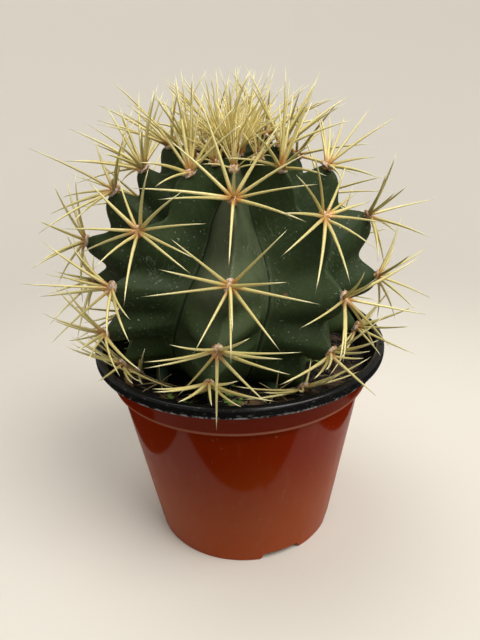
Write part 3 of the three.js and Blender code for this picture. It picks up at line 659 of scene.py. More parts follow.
class Stem:
    """The ribbed globe as a rule: angles in degrees, lengths in metres."""

    def __init__(self, size):
        self.size = size
        self.turn = np.array(Euler((size.lean_forward, size.lean_side, 0.0)).to_matrix())
        self.centre = np.array(size.centre)
        longest = max(map(len, AREOLES))
        self.table = np.array([(*row, *[np.nan] * (longest - len(row))) for row in AREOLES])

    def crest(self, rib, latitude):
        twist = math.degrees(self.size.rib_twist)
        start = math.degrees(self.size.rib_azimuth)
        return start + rib * 360 / len(AREOLES) + twist * (1 - np.sin(np.radians(latitude)))

    def way_down(self, rib, latitude):
        """How far down a place lies between two areoles of its rib, 0 to 1."""
        rows = self.table[rib]
        upper, lower = rows[..., :-1], rows[..., 1:]
        at = np.asarray(latitude, float)[..., None]
        inside = (at <= upper) & (at >= lower)
        return np.where(inside, (upper - at) / (upper - lower), 0.0).max(axis=-1)

    def valley(self, rib, latitude):
        """How much the crest dips at a place, 0 to 1."""
        return np.sin(np.pi * self.way_down(rib, latitude) ** self.size.scallop_lean) ** 2

    def depth(self, rib, across, latitude):
        """How far the surface lies below the smooth globe: across is 1 in the furrow."""
        size = self.size
        valley = self.valley(rib, latitude)
        sine = np.sin(np.radians(latitude))
        cosine = np.maximum(0.0, np.cos(np.radians(latitude)))
        rounding = size.crest_round * (1 + size.nose_round * (1 - valley) ** 4)
        keel = (np.hypot(across, rounding) - rounding) / (np.hypot(1, rounding) - rounding)
        low = np.maximum(0.0, -sine)
        power = (size.flank_power - size.hollowing * valley) * (1 - size.flank_foot * low)
        flank = keel ** power
        furrow = size.furrow_depth * cosine
        furrow = furrow * (1 + size.furrow_rise * np.maximum(0.0, sine) ** 2.5 - size.furrow_foot * low)
        scallop = size.scallop_depth * np.minimum(1.0, cosine / size.scallop_fade) * valley
        scallop = scallop * (1 + size.scallop_low * low)
        return furrow * flank + scallop * (1 - flank)

    def sunken(self, latitude):
        """How far a latitude lies in the sunken crown: 0 at its edge and 1 in its middle."""
        start = math.degrees(self.size.crown_latitude)
        past = np.clip((latitude - start) / (90 - start), 0.0, 1.0)
        return past * past * (3 - 2 * past)

    def globe(self, azimuth, latitude):
        size = self.size
        c, s = np.cos(np.radians(latitude)), np.sin(np.radians(latitude))
        outward = unit(polar(c / size.radius, azimuth, s / size.half_height))
        at = polar(size.radius * np.maximum(0.0, c) ** size.shoulder, azimuth, size.half_height * s)
        moved = np.array((size.crown_right, size.crown_back, -size.crown_dip))
        return at + moved * np.asarray(self.sunken(latitude))[..., None], outward

    def point(self, rib, side, latitude):
        at, outward = self.globe(self.crest(rib + side / 2, latitude), latitude)
        return self.world(at - outward * self.depth(rib, abs(side), latitude))

    def world(self, point):
        return self.turn @ point + self.centre

    def inside(self, points, margin=0.0):
        """Whether each point is inside the body, or closer to it than margin."""
        size = self.size
        p = (np.atleast_2d(points) - self.centre) @ self.turn
        up = p[:, 2] / size.half_height
        latitude = np.degrees(np.arctan2(up, np.hypot(p[:, 0], p[:, 1]) / size.radius))
        sunken = self.sunken(latitude)
        p[:, 0] -= size.crown_right * sunken
        p[:, 1] -= size.crown_back * sunken
        across = np.hypot(p[:, 0], p[:, 1]) / size.radius
        latitude = np.degrees(np.arctan2(up, across))
        azimuth = np.degrees(np.arctan2(p[:, 0], -p[:, 1]))
        turns = (azimuth - self.crest(0, latitude)) * len(AREOLES) / 360
        nearest = np.floor(turns + 0.5)
        rib = nearest.astype(int) % len(AREOLES)
        below = self.depth(rib, np.abs(turns - nearest) * 2, latitude)
        below = below + size.crown_dip * self.sunken(latitude)
        return (1 - np.hypot(across, up)) * size.radius > below - margin


class Spines:
    """Draws spines one after the other, each clear of the stem, the pot, the soil and the rest."""

    ATTEMPTS = 14             # draws for one spine; the last one is returned also if it isn't clear
    TESTS = 16                # places along a spine that are tested
    STEPS = 80                # small turns that may lift it off the stem and the pot
    FROM_STEM, FROM_POT = 0.05, 0.07    # how far each of them goes
    FREE = 0.12               # share of the length, from the root, that isn't tested
    CLEARANCE = 1.9 * MM      # between the middle lines of two spines of different areoles
    STEM_MARGIN = RIM_MARGIN = 1.5 * MM
    RIM_ZONE = 4 * MM         # width inside the rolled rim where a spine has to stay over the rim
    SOIL_MARGIN = 4.5 * MM
    SIDE_REACH, TOP_REACH = (102 * MM, 96.5 * MM), 240 * MM     # no spine goes past these

    def __init__(self, stem, pot, soil):
        self.stem, self.pot, self.soil = stem, pot, soil
        self.roots, self.tips, self.owners = [], [], []
        self.shares = np.arange(1, self.TESTS + 1) / self.TESTS
        self.margins = np.where(self.shares > 2 * self.FREE, self.STEM_MARGIN, 0.0)
        self.tested = self.shares > self.FREE

    def clear_of_pot(self, p):
        r = np.hypot(p[:, 0], p[:, 1])
        over = p[:, 2] > self.pot.height + self.RIM_MARGIN
        above = p[:, 2] > self.soil.level + self.SOIL_MARGIN
        inner = self.pot.rim_radius - self.pot.lip_width - self.RIM_ZONE
        return (r > self.pot.rim_radius + self.RIM_MARGIN) | np.where(r > inner, over, above)

    def lifted(self, root, direction, outward, reach):
        aim = direction.copy()
        away = np.array((outward[0], outward[1], max(0.0, outward[2]))) * self.FROM_STEM
        for _ in range(self.STEPS):
            p = root + aim * (reach * self.shares)[:, None]
            hits_pot = bool((self.tested & ~self.clear_of_pot(p)).any())
            hits_stem = bool((self.tested & self.stem.inside(p, self.margins)).any())
            if not hits_pot and not hits_stem:
                break
            if hits_stem:
                aim = aim + away
            if hits_pot:
                aim = aim + np.array((0.0, 0.0, self.FROM_POT))
            aim = unit(aim)
        return aim

    def held_in(self, root, aim, reach):
        for axis in (0, 1):
            room = self.SIDE_REACH[axis] - np.sign(aim[axis]) * root[axis]
            reach = min(reach, room / max(1e-6, abs(aim[axis])))
        if aim[2] > 0:
            reach = min(reach, (self.TOP_REACH - root[2]) / aim[2])
        return reach

    def is_clear(self, root, tip, owner):
        others = [i for i, name in enumerate(self.owners) if name != owner]
        if not others:
            return True
        c, d = np.array(self.roots)[others], np.array(self.tips)[others]
        u, v, w = tip - root, d - c, root - c
        uu, vv = u @ u, (v * v).sum(1)
        uv, uw, vw = v @ u, w @ u, (v * w).sum(1)
        det = uu * vv - uv * uv
        s = np.where(det > 1e-15, np.clip((uv * vw - vv * uw) / np.maximum(det, 1e-15), 0, 1), 0)
        t = np.clip((uv * s + vw) / vv, 0, 1)
        s = np.clip((uv * t - uw) / uu, 0, 1)
        apart = np.linalg.norm(w + u * s[:, None] - v * t[:, None], axis=1)
        return bool((apart > self.CLEARANCE).all())

    def grow(self, owner, outward, draw, attempts=ATTEMPTS):
        for _ in range(attempts):
            root, direction, reach = draw()
            aim = self.lifted(root, direction, outward, reach)
            tip = root + aim * self.held_in(root, aim, reach)
            clear = self.is_clear(root, tip, owner)
            if clear:
                break
        return root, tip, clear

    def keep(self, owner, root, tip):
        self.owners.append(owner)
        self.roots.append(root)
        self.tips.append(tip)


PAD_LIFT, PAD_RING = 0.6 * MM, 0.55     # roots lie this far over the skin and this far out in the pad
YOUNG_LATITUDE, YOUNG_RISE = 50, 1.4    # over this latitude spines rise more, by so much a degree
STEEP = 52                # a listed spine that rises more stands in the middle of its pad
CENTRAL_LATITUDE = 15     # over this the central spine points down, under it up
LOW_LATITUDE = -5         # under this the spines are shorter
LOWEST_AREOLE = 3.5 * MM  # areoles closer to the soil than this aren't made
AROUND_SPREAD, CENTRAL_SPREAD, RISE_SPREAD, LENGTH_SPREAD = 8, 80, 10, 0.13
RISE_LIMIT = 82           # degrees


class Areole:
    """The place of one cushion of spines, with its own directions."""

    def __init__(self, stem, rib, latitude):
        self.rib, self.latitude = rib, latitude
        self.at = stem.point(rib, 0, latitude)
        self.outward = unit(stem.turn @ stem.globe(stem.crest(rib, latitude), latitude)[1])
        up = stem.point(rib, 0, min(90, latitude + 4)) - self.at
        self.up = unit(up - self.outward * (up @ self.outward))
        self.side = np.cross(self.up, self.outward)
        self.name = (rib, latitude)


def stem_areoles(stem, soil):
    made = [Areole(stem, rib, lat) for rib, row in enumerate(AREOLES) for lat in row]
    return [areole for areole in made if areole.at[2] > soil.level + LOWEST_AREOLE]


def spine_at(areole, size, around, rise, reach, central):
    """Root, direction and length of a spine on an areole: angles in degrees."""
    around, slope = math.radians(around), math.radians(rise)
    flat = areole.up * math.cos(around) + areole.side * math.sin(around)
    direction = flat * math.cos(slope) + areole.outward * math.sin(slope)
    out = 0.0 if central else size.pad_radius * PAD_RING
    return areole.at + areole.outward * PAD_LIFT + flat * out, direction, reach


def star_of_spines(areole, size, random):
    """The spines of an unseen areole: radials all round it and one central spine."""

    def spread(amount):
        return (2 * random() - 1) * amount

    def sided(sign):
        return [(sign if i % 2 else -sign) * turn for i, turn in enumerate(pairs)]

    def draw(place):
        central = place == CENTRAL
        if central:
            around = (180 if areole.latitude > CENTRAL_LATITUDE else 0) + spread(CENTRAL_SPREAD)
            rise = math.degrees(size.central_rise)
        else:
            around = place + spread(AROUND_SPREAD)
            rise = math.degrees(size.rise) + young
        rise = min(RISE_LIMIT, rise + spread(RISE_SPREAD))
        reach = size.length * (1 + spread(LENGTH_SPREAD)) * low
        return spine_at(areole, size, around, rise, reach, central)

    young = max(0, areole.latitude - YOUNG_LATITUDE) * YOUNG_RISE
    low = size.low_share if areole.latitude < LOW_LATITUDE else 1.0
    missing = math.floor(random() * len(RADIAL_PAIRS))
    pairs = [pair for i, pair in enumerate(RADIAL_PAIRS) if i != missing]
    for place in sided(1) + [180, CENTRAL] + sided(-1)[::-1]:
        yield lambda place=place: draw(place)


def spines_of(spines, areole, size, random):
    """Grows all spines of one areole. Yields the root and tip of each."""
    seen = FRONT_SPINES.get(areole.name)
    if seen:
        draws = [lambda row=row: spine_at(areole, size, row[0], row[1], row[2] * MM, row[1] > STEEP)
                 for row in seen]
    else:
        draws = star_of_spines(areole, size, random)
    for draw in draws:
        root, tip, _ = spines.grow(areole.name, areole.outward, draw, 1 if seen else spines.ATTEMPTS)
        spines.keep(areole.name, root, tip)
        yield root, tip


# ---- Pot

BLACK_FROM = 8            # corner of the outline where the black sheet starts to show
POT_SEGMENTS = 200
DRAIN_SEGMENTS = 40


def pot_outside_paint(graph, colours, band_z):
    """Satin terracotta plastic with soft clouds, rubbed places and a few pale smudges, and painted light:
    lighter towards the foot with a painted reflection there, a darker band, a painted highlight on the band's
    edge and painted shade under it.
    """
    here = graph.here()
    cloud = graph.noise(here, 22.0, 3.0).step(0.35, 0.7)
    speck = graph.noise(here, 330.0, 2.0, 0.6).step(0.68, 0.80)
    streak = graph.noise(graph.vectors("MULTIPLY", here, (60.0, 60.0, 9.0)), 3.0, 4.0).step(0.55, 0.8)
    # Painted light: the wall is lighter towards the foot, for the light thrown up from the floor.
    lower = 1 - here.part("Z").step(0.022, 0.082)
    z = here.part("Z") - band_z
    # Painted highlight along the band's lower edge, and painted shade in the groove under it.
    painted_ridge_highlight = z.step(-0.0006, 0.0) * (1 - z.step(0.0008, 0.0014))
    painted_groove_shade = z.step(-0.0024, -0.0017) * (1 - z.step(-0.0010, -0.0005))
    relief = graph.noise(here, 900.0, 2.0) * 0.3 + graph.noise(here, 60.0, 2.0) * 0.7
    return {
        "Base Color": graph.layers(
            colours.terracotta,
            (lower, colours.terracotta_lit_foot),
            (cloud * 0.3, (0.225, 0.0267, 0.0)),
            (streak * 0.07, (0.40, 0.20, 0.12)),
            (speck * 0.22, (0.50, 0.30, 0.20)),
            # Painted reflection: a pale pinkish haze low on the wall, for the mirrored floor.
            (lower * cloud * 0.06, (0.60, 0.34, 0.22)),
            # Painted shade: the band under the rim is darker, standing in for the dark it mirrors.
            (z.step(0.0, 0.001) * 0.4, (0.110, 0.007, 0.0)),
            (painted_ridge_highlight * 0.38, (0.55, 0.27, 0.17)),
            (painted_groove_shade * 0.5, (0.07, 0.008, 0.001)),
        ),
        "Roughness": 0.20 + cloud * 0.05 + streak * 0.10 + speck * 0.2,
        "Coat Weight": (0.35 - cloud * 0.05) * (1 - z.step(-0.001, 0.001) * 0.7),
        "Normal": graph.bump(relief, 0.2, 0.0003),
    }


def pot_black_paint(graph, colours, lip_z):
    """Black plastic: dusty inside, with pale scuffs along the lower edge of the rolled rim."""
    here = graph.here()
    z = here.part("Z")
    radius = graph.vectors("LENGTH", graph.vectors("MULTIPLY", here, (1.0, 1.0, 0.0)), out=1)
    outside = radius.step(0.0735, 0.0742)
    edge = (1 - z.step(lip_z + 0.0003, lip_z + 0.0016)) * outside
    scuff = edge * graph.noise(here, 330.0, 4.0, 0.65).step(0.47, 0.60)
    scratch = graph.noise(graph.vectors("MULTIPLY", here, (1.0, 1.0, 4.0)), 420.0, 3.0).step(0.62, 0.70)
    blotches = graph.noise(here, 90.0, 5.0, 0.65).step(0.50, 0.68)
    blotches = blotches * (1 - z.step(0.098, 0.1075)) * (1 - outside)
    return {
        "Base Color": graph.layers(
            colours.pot_black,
            (scuff * 0.95, (0.42, 0.43, 0.43)),
            (scratch * outside * 0.22, (0.30, 0.30, 0.30)),
            (blotches * 0.5, (0.060, 0.042, 0.028)),
        ),
        "Roughness": 0.17 + blotches * 0.5 + scuff * 0.35 + graph.noise(here, 50.0) * 0.12,
        "Normal": graph.bump(graph.noise(here, 700.0, 3.0), 0.2, 0.0003),
    }


def pot_outline(size):
    """Corners of the pot's section from the middle of the underside round to the middle inside."""
    lip_z = size.height - size.lip_height
    lip_inside = size.rim_radius - size.lip_width
    floor = size.floor_z + size.wall
    foot = size.base_radius - size.foot_width
    tip = size.lip_width * 0.5
    inner_base = size.base_radius + (size.wall_top - size.base_radius) * floor / size.band_z - size.wall
    return [
        (0.0, size.floor_z, 0),
        (foot, size.floor_z, 0.8 * MM),
        (foot, 0.0, 0.3 * MM),
        (size.base_radius, 0.0, 0.6 * MM),
        (size.wall_top, size.band_z - 1.0 * MM, 1.2 * MM),
        (size.band_bottom, size.band_z - 0.5 * MM, 0.4 * MM),
        (size.band_bottom, size.band_z + 0.6 * MM, 0.5 * MM),
        (size.band_top, lip_z, 0.3 * MM),
        (size.rim_radius - size.lip_step, lip_z, 0.5 * MM),
        (size.rim_radius, lip_z + 1.4 * MM, 1.0 * MM),
        (size.rim_radius, size.height, tip),
        (lip_inside, size.height, tip),
        (lip_inside - size.lip_step, lip_z, 2.0 * MM),
        (size.band_bottom - size.wall, size.band_z + 1.5 * MM, 1.0 * MM),
        (size.wall_top - size.wall, size.band_z - 0.5 * MM, 1.0 * MM),
        (inner_base, floor, 3.0 * MM),
        (0.0, floor, 0),
    ]


def notch_block(size, azimuth):
    """A block with sloping sides that cuts one notch out of the foot ring."""
    half = size.base_radius * size.notch_angle / 2
    slope, high = size.notch_slope, size.floor_z - 0.1 * MM
    front, back = size.base_radius + 3 * MM, size.base_radius - 5 * MM
    corners = [(-half - slope, -size.floor_z), (half + slope, -size.floor_z), (half - slope, high),
               (-half + slope, high)]
    turn = Matrix.Rotation(math.radians(azimuth), 3, "Z")
    points = [turn @ Vector((x, -y, z)) for y in (front, back) for x, z in corners]
    faces = [(0, 1, 2, 3), (7, 6, 5, 4), (0, 4, 5, 1), (1, 5, 6, 2), (2, 6, 7, 3), (3, 7, 4, 0)]
    return points, faces


def drain_pin(size, x, y):
    """A round pin that cuts one drainage hole."""
    long = 3 * size.floor_z
    outline = [(0.0, 0.0), (size.drain_radius, 0.0), (size.drain_radius, long), (0.0, long)]
    points, faces, _ = lathed(outline, DRAIN_SEGMENTS)
    return [Vector(p) + Vector((x, y, 0.0)) for p in points], faces


def cut(piece, blocks):
    """Cuts closed blocks out of a piece."""
    cutter = new_object("cutter", new_mesh("cutter", *joined(blocks)))
    modifier = piece.modifiers.new("Cut", "BOOLEAN")
    modifier.operation, modifier.solver, modifier.object = "DIFFERENCE", "EXACT", cutter
    apply(piece, modifier)
    bpy.data.objects.remove(cutter)


class CACTUS_OT_pot(bpy.types.Operator):
    """Makes the moulded pot: terracotta outside, black rolled rim and inside"""

    bl_idname = "cactus.pot"
    bl_label = "Pot"

    def execute(self, context):
        size, colours = context.scene.cactus_pot, context.scene.cactus_colours
        outside = material("pot_terracotta", pot_outside_paint, colours, size.band_z,
                           **{SPECULAR: 0.0, "Coat IOR": 1.45, "Coat Roughness": 0.09})
        inside = material("pot_black", pot_black_paint, colours, size.height - size.lip_height,
                          **{SPECULAR: 0.3})
        outline, corners = rounded(pot_outline(size))
        points, faces, steps = lathed(outline, POT_SEGMENTS)
        pot = new_object("nursery_pot", new_mesh("nursery_pot", points, faces), outside, inside)
        pot.data.polygons.foreach_set("material_index", [int(corners[step] >= BLACK_FROM) for step in steps])
        holes = [polar(size.drain_circle, azimuth)[:2] for azimuth in NOTCHES] + [(0.0, 0.0)]
        cut(pot, [notch_block(size, azimuth) for azimuth in NOTCHES] + [drain_pin(size, *at) for at in holes])
        pot.data.set_sharp_from_angle(angle=math.radians(40))
        settle(pot, "pot_plastic", "pot")
        return {"FINISHED"}


# ---- Soil

SOIL_RINGS, SOIL_SEGMENTS = 46, 150
SOIL_GAP = 0.3 * MM       # between the soil and the pot
CHIP_SKEW, CHIP_ROUGHNESS, CHIP_HEIGHT = 0.35, 2.2 * MM, 3.4 * MM


def peat_paint(graph, colours):
    """Damp peat: near black, with brown fibres and a few paler grains."""
    here = graph.here()
    grain = graph.noise(here, 420.0, 5.0, 0.7)
    return {
        "Base Color": graph.layers(
            colours.peat,
            (grain.step(0.45, 0.75), (0.020, 0.012, 0.0065)),
            (graph.read("tint").step(0.90, 0.96) * 0.8, (0.16, 0.085, 0.035)),
        ),
        "Roughness": 0.75 + grain * 0.25,
        "Normal": graph.bump(graph.noise(here, 900.0, 4.0, 0.7), 0.8, 0.0005),
    }


def bark_paint(graph, colours):
    """Bark: layered brown to tan, paler on some chips."""
    grain = graph.noise(graph.vectors("MULTIPLY", graph.here(), (1.0, 3.0, 6.0)), 180.0, 5.0, 0.65)
    return {
        "Base Color": graph.layers(
            (0.022, 0.012, 0.007),
            (grain.step(0.35, 0.7), colours.bark),
            (graph.read("tint").step(0.45, 0.85), (0.36, 0.21, 0.09)),
            (grain.step(0.55, 0.8) * 0.4, (0.42, 0.30, 0.18)),
        ),
        "Roughness": 0.7 + grain * 0.25,
        "Normal": graph.bump(grain, 0.7, 0.0006),
    }


def fibre_paint(graph):
    """Dry roots: straw to dark brown."""
    grain = graph.noise(graph.here(), 800.0, 2.0)
    coats = ((graph.read("tint"), (0.07, 0.04, 0.02)), (grain * 0.4, (0.40, 0.32, 0.18)))
    return {"Base Color": graph.layers((0.30, 0.20, 0.10), *coats), "Roughness": 0.7 + grain * 0.2}


def soil_height(level, x, y):
    x, y = x / MM, y / MM
    wave = math.sin(x * 0.31 + 1.2) * math.cos(y * 0.27) + 0.6 * math.sin(x * 0.11 - y * 0.17)
    return level + (0.7 * wave - 1.2) * MM


def crumb_tree(graph, ports):
    """Scatters crumbs over the open soil and gives each its own size, turn and tint."""
    points = graph.scattered(ports["Geometry"], ports["Density"], ports["Seed"],
                             graph.read("open").is_over(0.5))
    size = graph.random(0.18, 1.0, 3) ** 2.2 * ports["Size"]
    scale = graph.scaled(graph.random((0.6, 0.6, 0.4), (1.2, 1.2, 0.9), 4), size)
    turn = graph.turned(graph.random((0, 0, 0), (6.3, 6.3, 6.3), 5))
    tinted = graph.store(points, "tint", graph.random(0.0, 1.0, 6))
    crumbs = graph.set_on(tinted, graph.ball(1, 0.5), turn, scale)
    rough = graph.roughened(crumbs, 700.0, ports["Size"] * 0.45)
    close_tree(graph, rough, ports["Material"], smooth=False)


def chip_tree(graph, ports):
    """Lays bark chips on the points: split, layered slabs."""
    slab = graph.add("GeometryNodeMeshCube", {
        "Size": (1.0, 1.0, 1.0), "Vertices X": 6, "Vertices Y": 4, "Vertices Z": 3,
    })
    x, y, z = (graph.place().part(axis) for axis in "XYZ")
    skewed = graph.moved(slab, position=graph.vector(x + y * ports["Skew"], y, z))
    chips = graph.set_on(ports["Geometry"], skewed, graph.turned(graph.read("turn", VECTOR)),
                         graph.read("extent", VECTOR))
    close_tree(graph, graph.roughened(chips, 260.0, ports["Roughness"], 3.0), ports["Material"])


class CACTUS_OT_soil(bpy.types.Operator):
    """Makes the potting mix: an uneven bed, crumbs of peat, bark chips and fibres"""

    bl_idname = "cactus.soil"
    bl_label = "Soil"

    def execute(self, context):
        scene = context.scene
        size, colours = scene.cactus_soil, scene.cactus_colours
        stem = Stem(scene.cactus_stem)
        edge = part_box("soil")[1].x
        peat = material("peat", peat_paint, colours)
        bed = self.lay_bed(scene.cactus_pot, size, stem, peat)
        grow("soil_crumbs", "potting_mix", crumb_tree, bed, {
            "Density": size.crumb_density, "Size": size.crumb_size, "Seed": size.seed, "Material": peat,
        })
        grow("bark_chips", "potting_mix", chip_tree, self.chip_points(size, stem, edge), {
            "Skew": CHIP_SKEW, "Roughness": CHIP_ROUGHNESS, "Material": material("bark", bark_paint, colours),
        })
        self.scatter_fibres(size, stem, edge, scene.cactus_spines)
        return {"FINISHED"}

    def lay_bed(self, pot, size, stem, peat):
        """The soil as one closed body with an uneven top. Returns a copy of its mesh."""
        low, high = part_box("soil")
        base, wall, step = [(r - SOIL_GAP, z) for r, z, _ in pot_outline(pot)[-2:-5:-1]]
        corners = [(0.0, low.z), (base[0], low.z), wall, (step[0], step[1] + SOIL_GAP), (high.x, size.level)]
        rings = [(high.x * (1 - i / SOIL_RINGS), size.level) for i in range(1, SOIL_RINGS + 1)]
        points, faces, _ = lathed(corners + rings, SOIL_SEGMENTS)
        placed = []
        for x, y, z in points:
            if z >= size.level - 1e-6:
                rough = noise.fractal(Vector((x, y, 0.0)) * 240, 1.0, 2.0, 4) * 0.7 * MM
                z = soil_height(size.level, x, y) + rough
            placed.append((x, y, z))
        placed = np.array(placed)
        under_stem = stem.inside(placed + np.array((0.0, 0.0, 2 * MM)), -1.5 * MM)
        is_open = (placed[:, 2] > step[1] + 1 * MM) & ~under_stem
        bed = new_object("soil_bed", new_mesh("soil_bed", placed, faces, open=is_open, tint=0.0), peat)
        settle(bed, "potting_mix", "soil")
        return bed.data.copy()

    def scatter_fibres(self, size, stem, edge, spines):
        """Thin dry roots and fibres that lie about on the mix."""
        random = seeded(SEEDS["fibres"])
        fibres, tints = [], []
        while len(fibres) < size.fibres:
            middle = polar(edge * (0.5 + 0.48 * random()), 360 * random(), size.level + 1.2 * MM)
            if stem.inside(middle, 2 * MM)[0]:
                continue
            way = polar(1.0, 360 * random(), 0.25 * random() - 0.08) * (2 + 4.5 * random()) * MM
            if max(np.hypot(*(middle + way)[:2]), np.hypot(*(middle - way)[:2])) > edge - 1 * MM:
                continue
            fibres.append((middle - way, middle + way))
            tints.append(random())
        grow_spines("soil_fibres", "potting_mix", fibres, UP, material("fibre", fibre_paint), spines,
                    sink=0.0, bow=0.12, tint=tints, dry=tints, thick=[0.16 + 0.16 * tint for tint in tints])

    def chip_points(self, size, stem, edge):
        """Where the chips lie, how they are turned and how large they are."""
        random = seeded(SEEDS["chips"])
        places, turns, extents = [], [], []
        while len(places) < size.chips:
            middle = polar(edge * (0.6 + 0.4 * random()), 360 * random(), size.level + 2.25 * MM)
            long = (5.5 + 5.5 * random()) * MM
            turn = math.pi * random()
            if stem.inside(middle, 2 * MM + long / 2)[0]:
                continue
            if math.hypot(middle[0], middle[1]) + long / 2 > edge - 1 * MM:
                continue
            wide = long * (0.45 + 0.2 * random())
            tilt = 0.125 * (2 * random() - 1)
            x, y = middle[:2]
            places.append((x, y, soil_height(size.level, x, y) - 0.4 * MM))
            turns.append((tilt, 0.0, turn))
            extents.append((long, wide, CHIP_HEIGHT))
        tints = [random() for _ in places]
        return new_mesh("chip_points", places, turn=turns, extent=extents, tint=tints)


# ---- Stem

SIDES = (-1, -0.97, -0.9, -0.8, -0.69, -0.58, -0.47, -0.37, -0.28, -0.2, -0.13, -0.075, -0.035)
LATITUDES = ((88, 60, 26), (59.2, -40, 126), (-42, -66, 12))     # first, last and number of each run
LUMP_SCALE, LUMP_HEIGHT = 55.0, 1.6 * MM
STEM_SINK = 3 * MM        # how far the stem stands in the soil


def skin_paint(graph, colours, soil_level):
    """Dark bluish-green skin: bloom on the crests, scratches and corky scars, with painted light: a painted
    sheen on the upper front ribs, a lighter upper left, painted shade in the thin dark furrows and a painted
    highlight beside them.
    """
    here, chart, across = graph.here(), graph.read("chart", VECTOR), graph.read("across")
    turn, z = chart.part("X"), here.part("Z")
    cloud = graph.noise(here, 34.0, 4.0, 0.55)
    fine = graph.noise(here, 620.0, 3.0, 0.6)
    half = len(AREOLES) / 2
    # The front ribs, where the painted sheen and the lighter upper left go.
    front = 1 - (half - (turn - (half + 0.08)).size()).size().step(0.3, 0.85)
    left_side = 1 - turn.step(-0.1, 0.1)
    # Painted light: the upper left of the front ribs is lighter, for light from above left; greyish-brown
    # blotches lie only over it.
    left = front * left_side * z.step(0.142, 0.162)
    blotches = graph.noise(here, 48.0, 4.0, 0.6).step(0.5, 0.66) * left_side * left
    # Painted sheen: paler bloom over the upper front ribs stands in for the light from above; its cloudy
    # spread is the bloom's own.
    front_bloom_and_sheen = front * cloud.step(0.15, 0.5) * (z.step(0.126, 0.160) * 0.70 + 0.20)
    crest = (1 - across.step(0.05, 0.75)) * (0.06 + cloud * 0.38) + front_bloom_and_sheen
    low = (1 - z.step(soil_level + 0.004, soil_level + 0.042)) * 0.75
    # Painted shade: a thin dark line down each furrow.
    furrow = across.step(0.965, 0.99)
    # Painted highlight: a thin pale line beside each furrow, on the rib's edge that catches the light.
    furrow_edge_highlight = across.step(0.90, 0.93) * (1 - across.step(0.94, 0.965)) * cloud.step(0.35, 0.6)
    stretched = graph.vectors("MULTIPLY", chart, (11.0, 0.10, 1.0))
    scratch = 1 - (graph.noise(stretched, 1.0, 3.0, 0.6, 0.8) - 0.5).size().step(0.005, 0.014)
    patchy = scratch * graph.noise(here, 44.0, 3.0).step(0.56, 0.64)
    fleck = graph.noise(here, 760.0, 2.0, 0.6).step(0.66, 0.72) * graph.noise(here, 70.0).step(0.45, 0.58)
    spots = graph.add("ShaderNodeTexVoronoi", {"Vector": here, "Scale": 62.0, "Randomness": 1.0})
    scar = (1 - spots.step(0.05, 0.11)) * graph.noise(here, 23.0).step(0.56, 0.62)
    relief = fine * 0.5 + graph.noise(here, 170.0, 3.0) * 0.8 - patchy * 0.5 - scar
    return {
        "Base Color": graph.layers(
            colours.skin,
            (crest.at_most(1.0), colours.bloom),
            # Painted sheen: paler still where the sheen is strongest.
            ((front_bloom_and_sheen - 0.55).at_least(0.0), (0.1333, 0.1583, 0.1)),
            (low * cloud.step(0.25, 0.7), colours.young_skin),
            (graph.noise(here, 150.0, 3.0).step(0.35, 0.75) * 0.35, (0.0195, 0.037, 0.0098)),
            # Painted light on the upper left of the front ribs, then greyish-brown blotches over it.
            (left * 0.6, (0.125, 0.1375, 0.0792)),
            (blotches * 0.5, (0.1125, 0.1, 0.065)),
            (fine.step(0.48, 0.72) * 0.35, (0.0708, 0.0875, 0.0483)),
            (furrow_edge_highlight * 0.35, (0.1333, 0.1583, 0.0917)),
            # Painted shade in the furrows.
            (furrow * 0.85, (0.008, 0.013, 0.005)),
            (patchy * 0.45, (0.26, 0.30, 0.21)),
            (fleck * 0.75, (0.34, 0.37, 0.28)),
            (scar * 0.8, (0.18, 0.11, 0.055)),
        ),
        "Roughness": 0.50 + cloud * 0.14 + furrow * 0.2 + scratch * 0.15,
        "Normal": graph.bump(relief, 0.35, 0.0006),
    }


def stem_chart(stem):
    """The stem's surface as a chart: ribs round it, latitudes down it, closed at both ends."""
    sides = np.array((*SIDES, 0, *(-side for side in SIDES[:0:-1])))
    ribs = np.repeat(np.arange(len(AREOLES)), len(sides))
    across = np.tile(sides, len(AREOLES))
    rows = np.concatenate([np.linspace(*run) for run in LATITUDES])
    n, last = len(ribs), (len(rows) - 1) * len(ribs)
    points, ways = [], []
    for latitude in rows:
        level = np.full(n, latitude)
        points += np.stack((ribs + across / 2, level, np.zeros(n)), 1).tolist()
        ways += stem.way_down(ribs, level).tolist()
    top, bottom = len(points), len(points) + 1
    points += [(0.0, 90.0, 0.0), (0.0, -90.0, 0.0)]
    faces = []
    for i in range(n):
        j = (i + 1) % n
        faces += [(row + i, row + n + i, row + n + j, row + j) for row in range(0, last, n)]
        faces += [(top, i, j), (bottom, last + j, last + i)]
    return new_mesh("stem_chart", points, faces, chart=points, way=[*ways, 0, 0],
                    across=[*np.tile(np.abs(across), len(rows)), 0, 0])


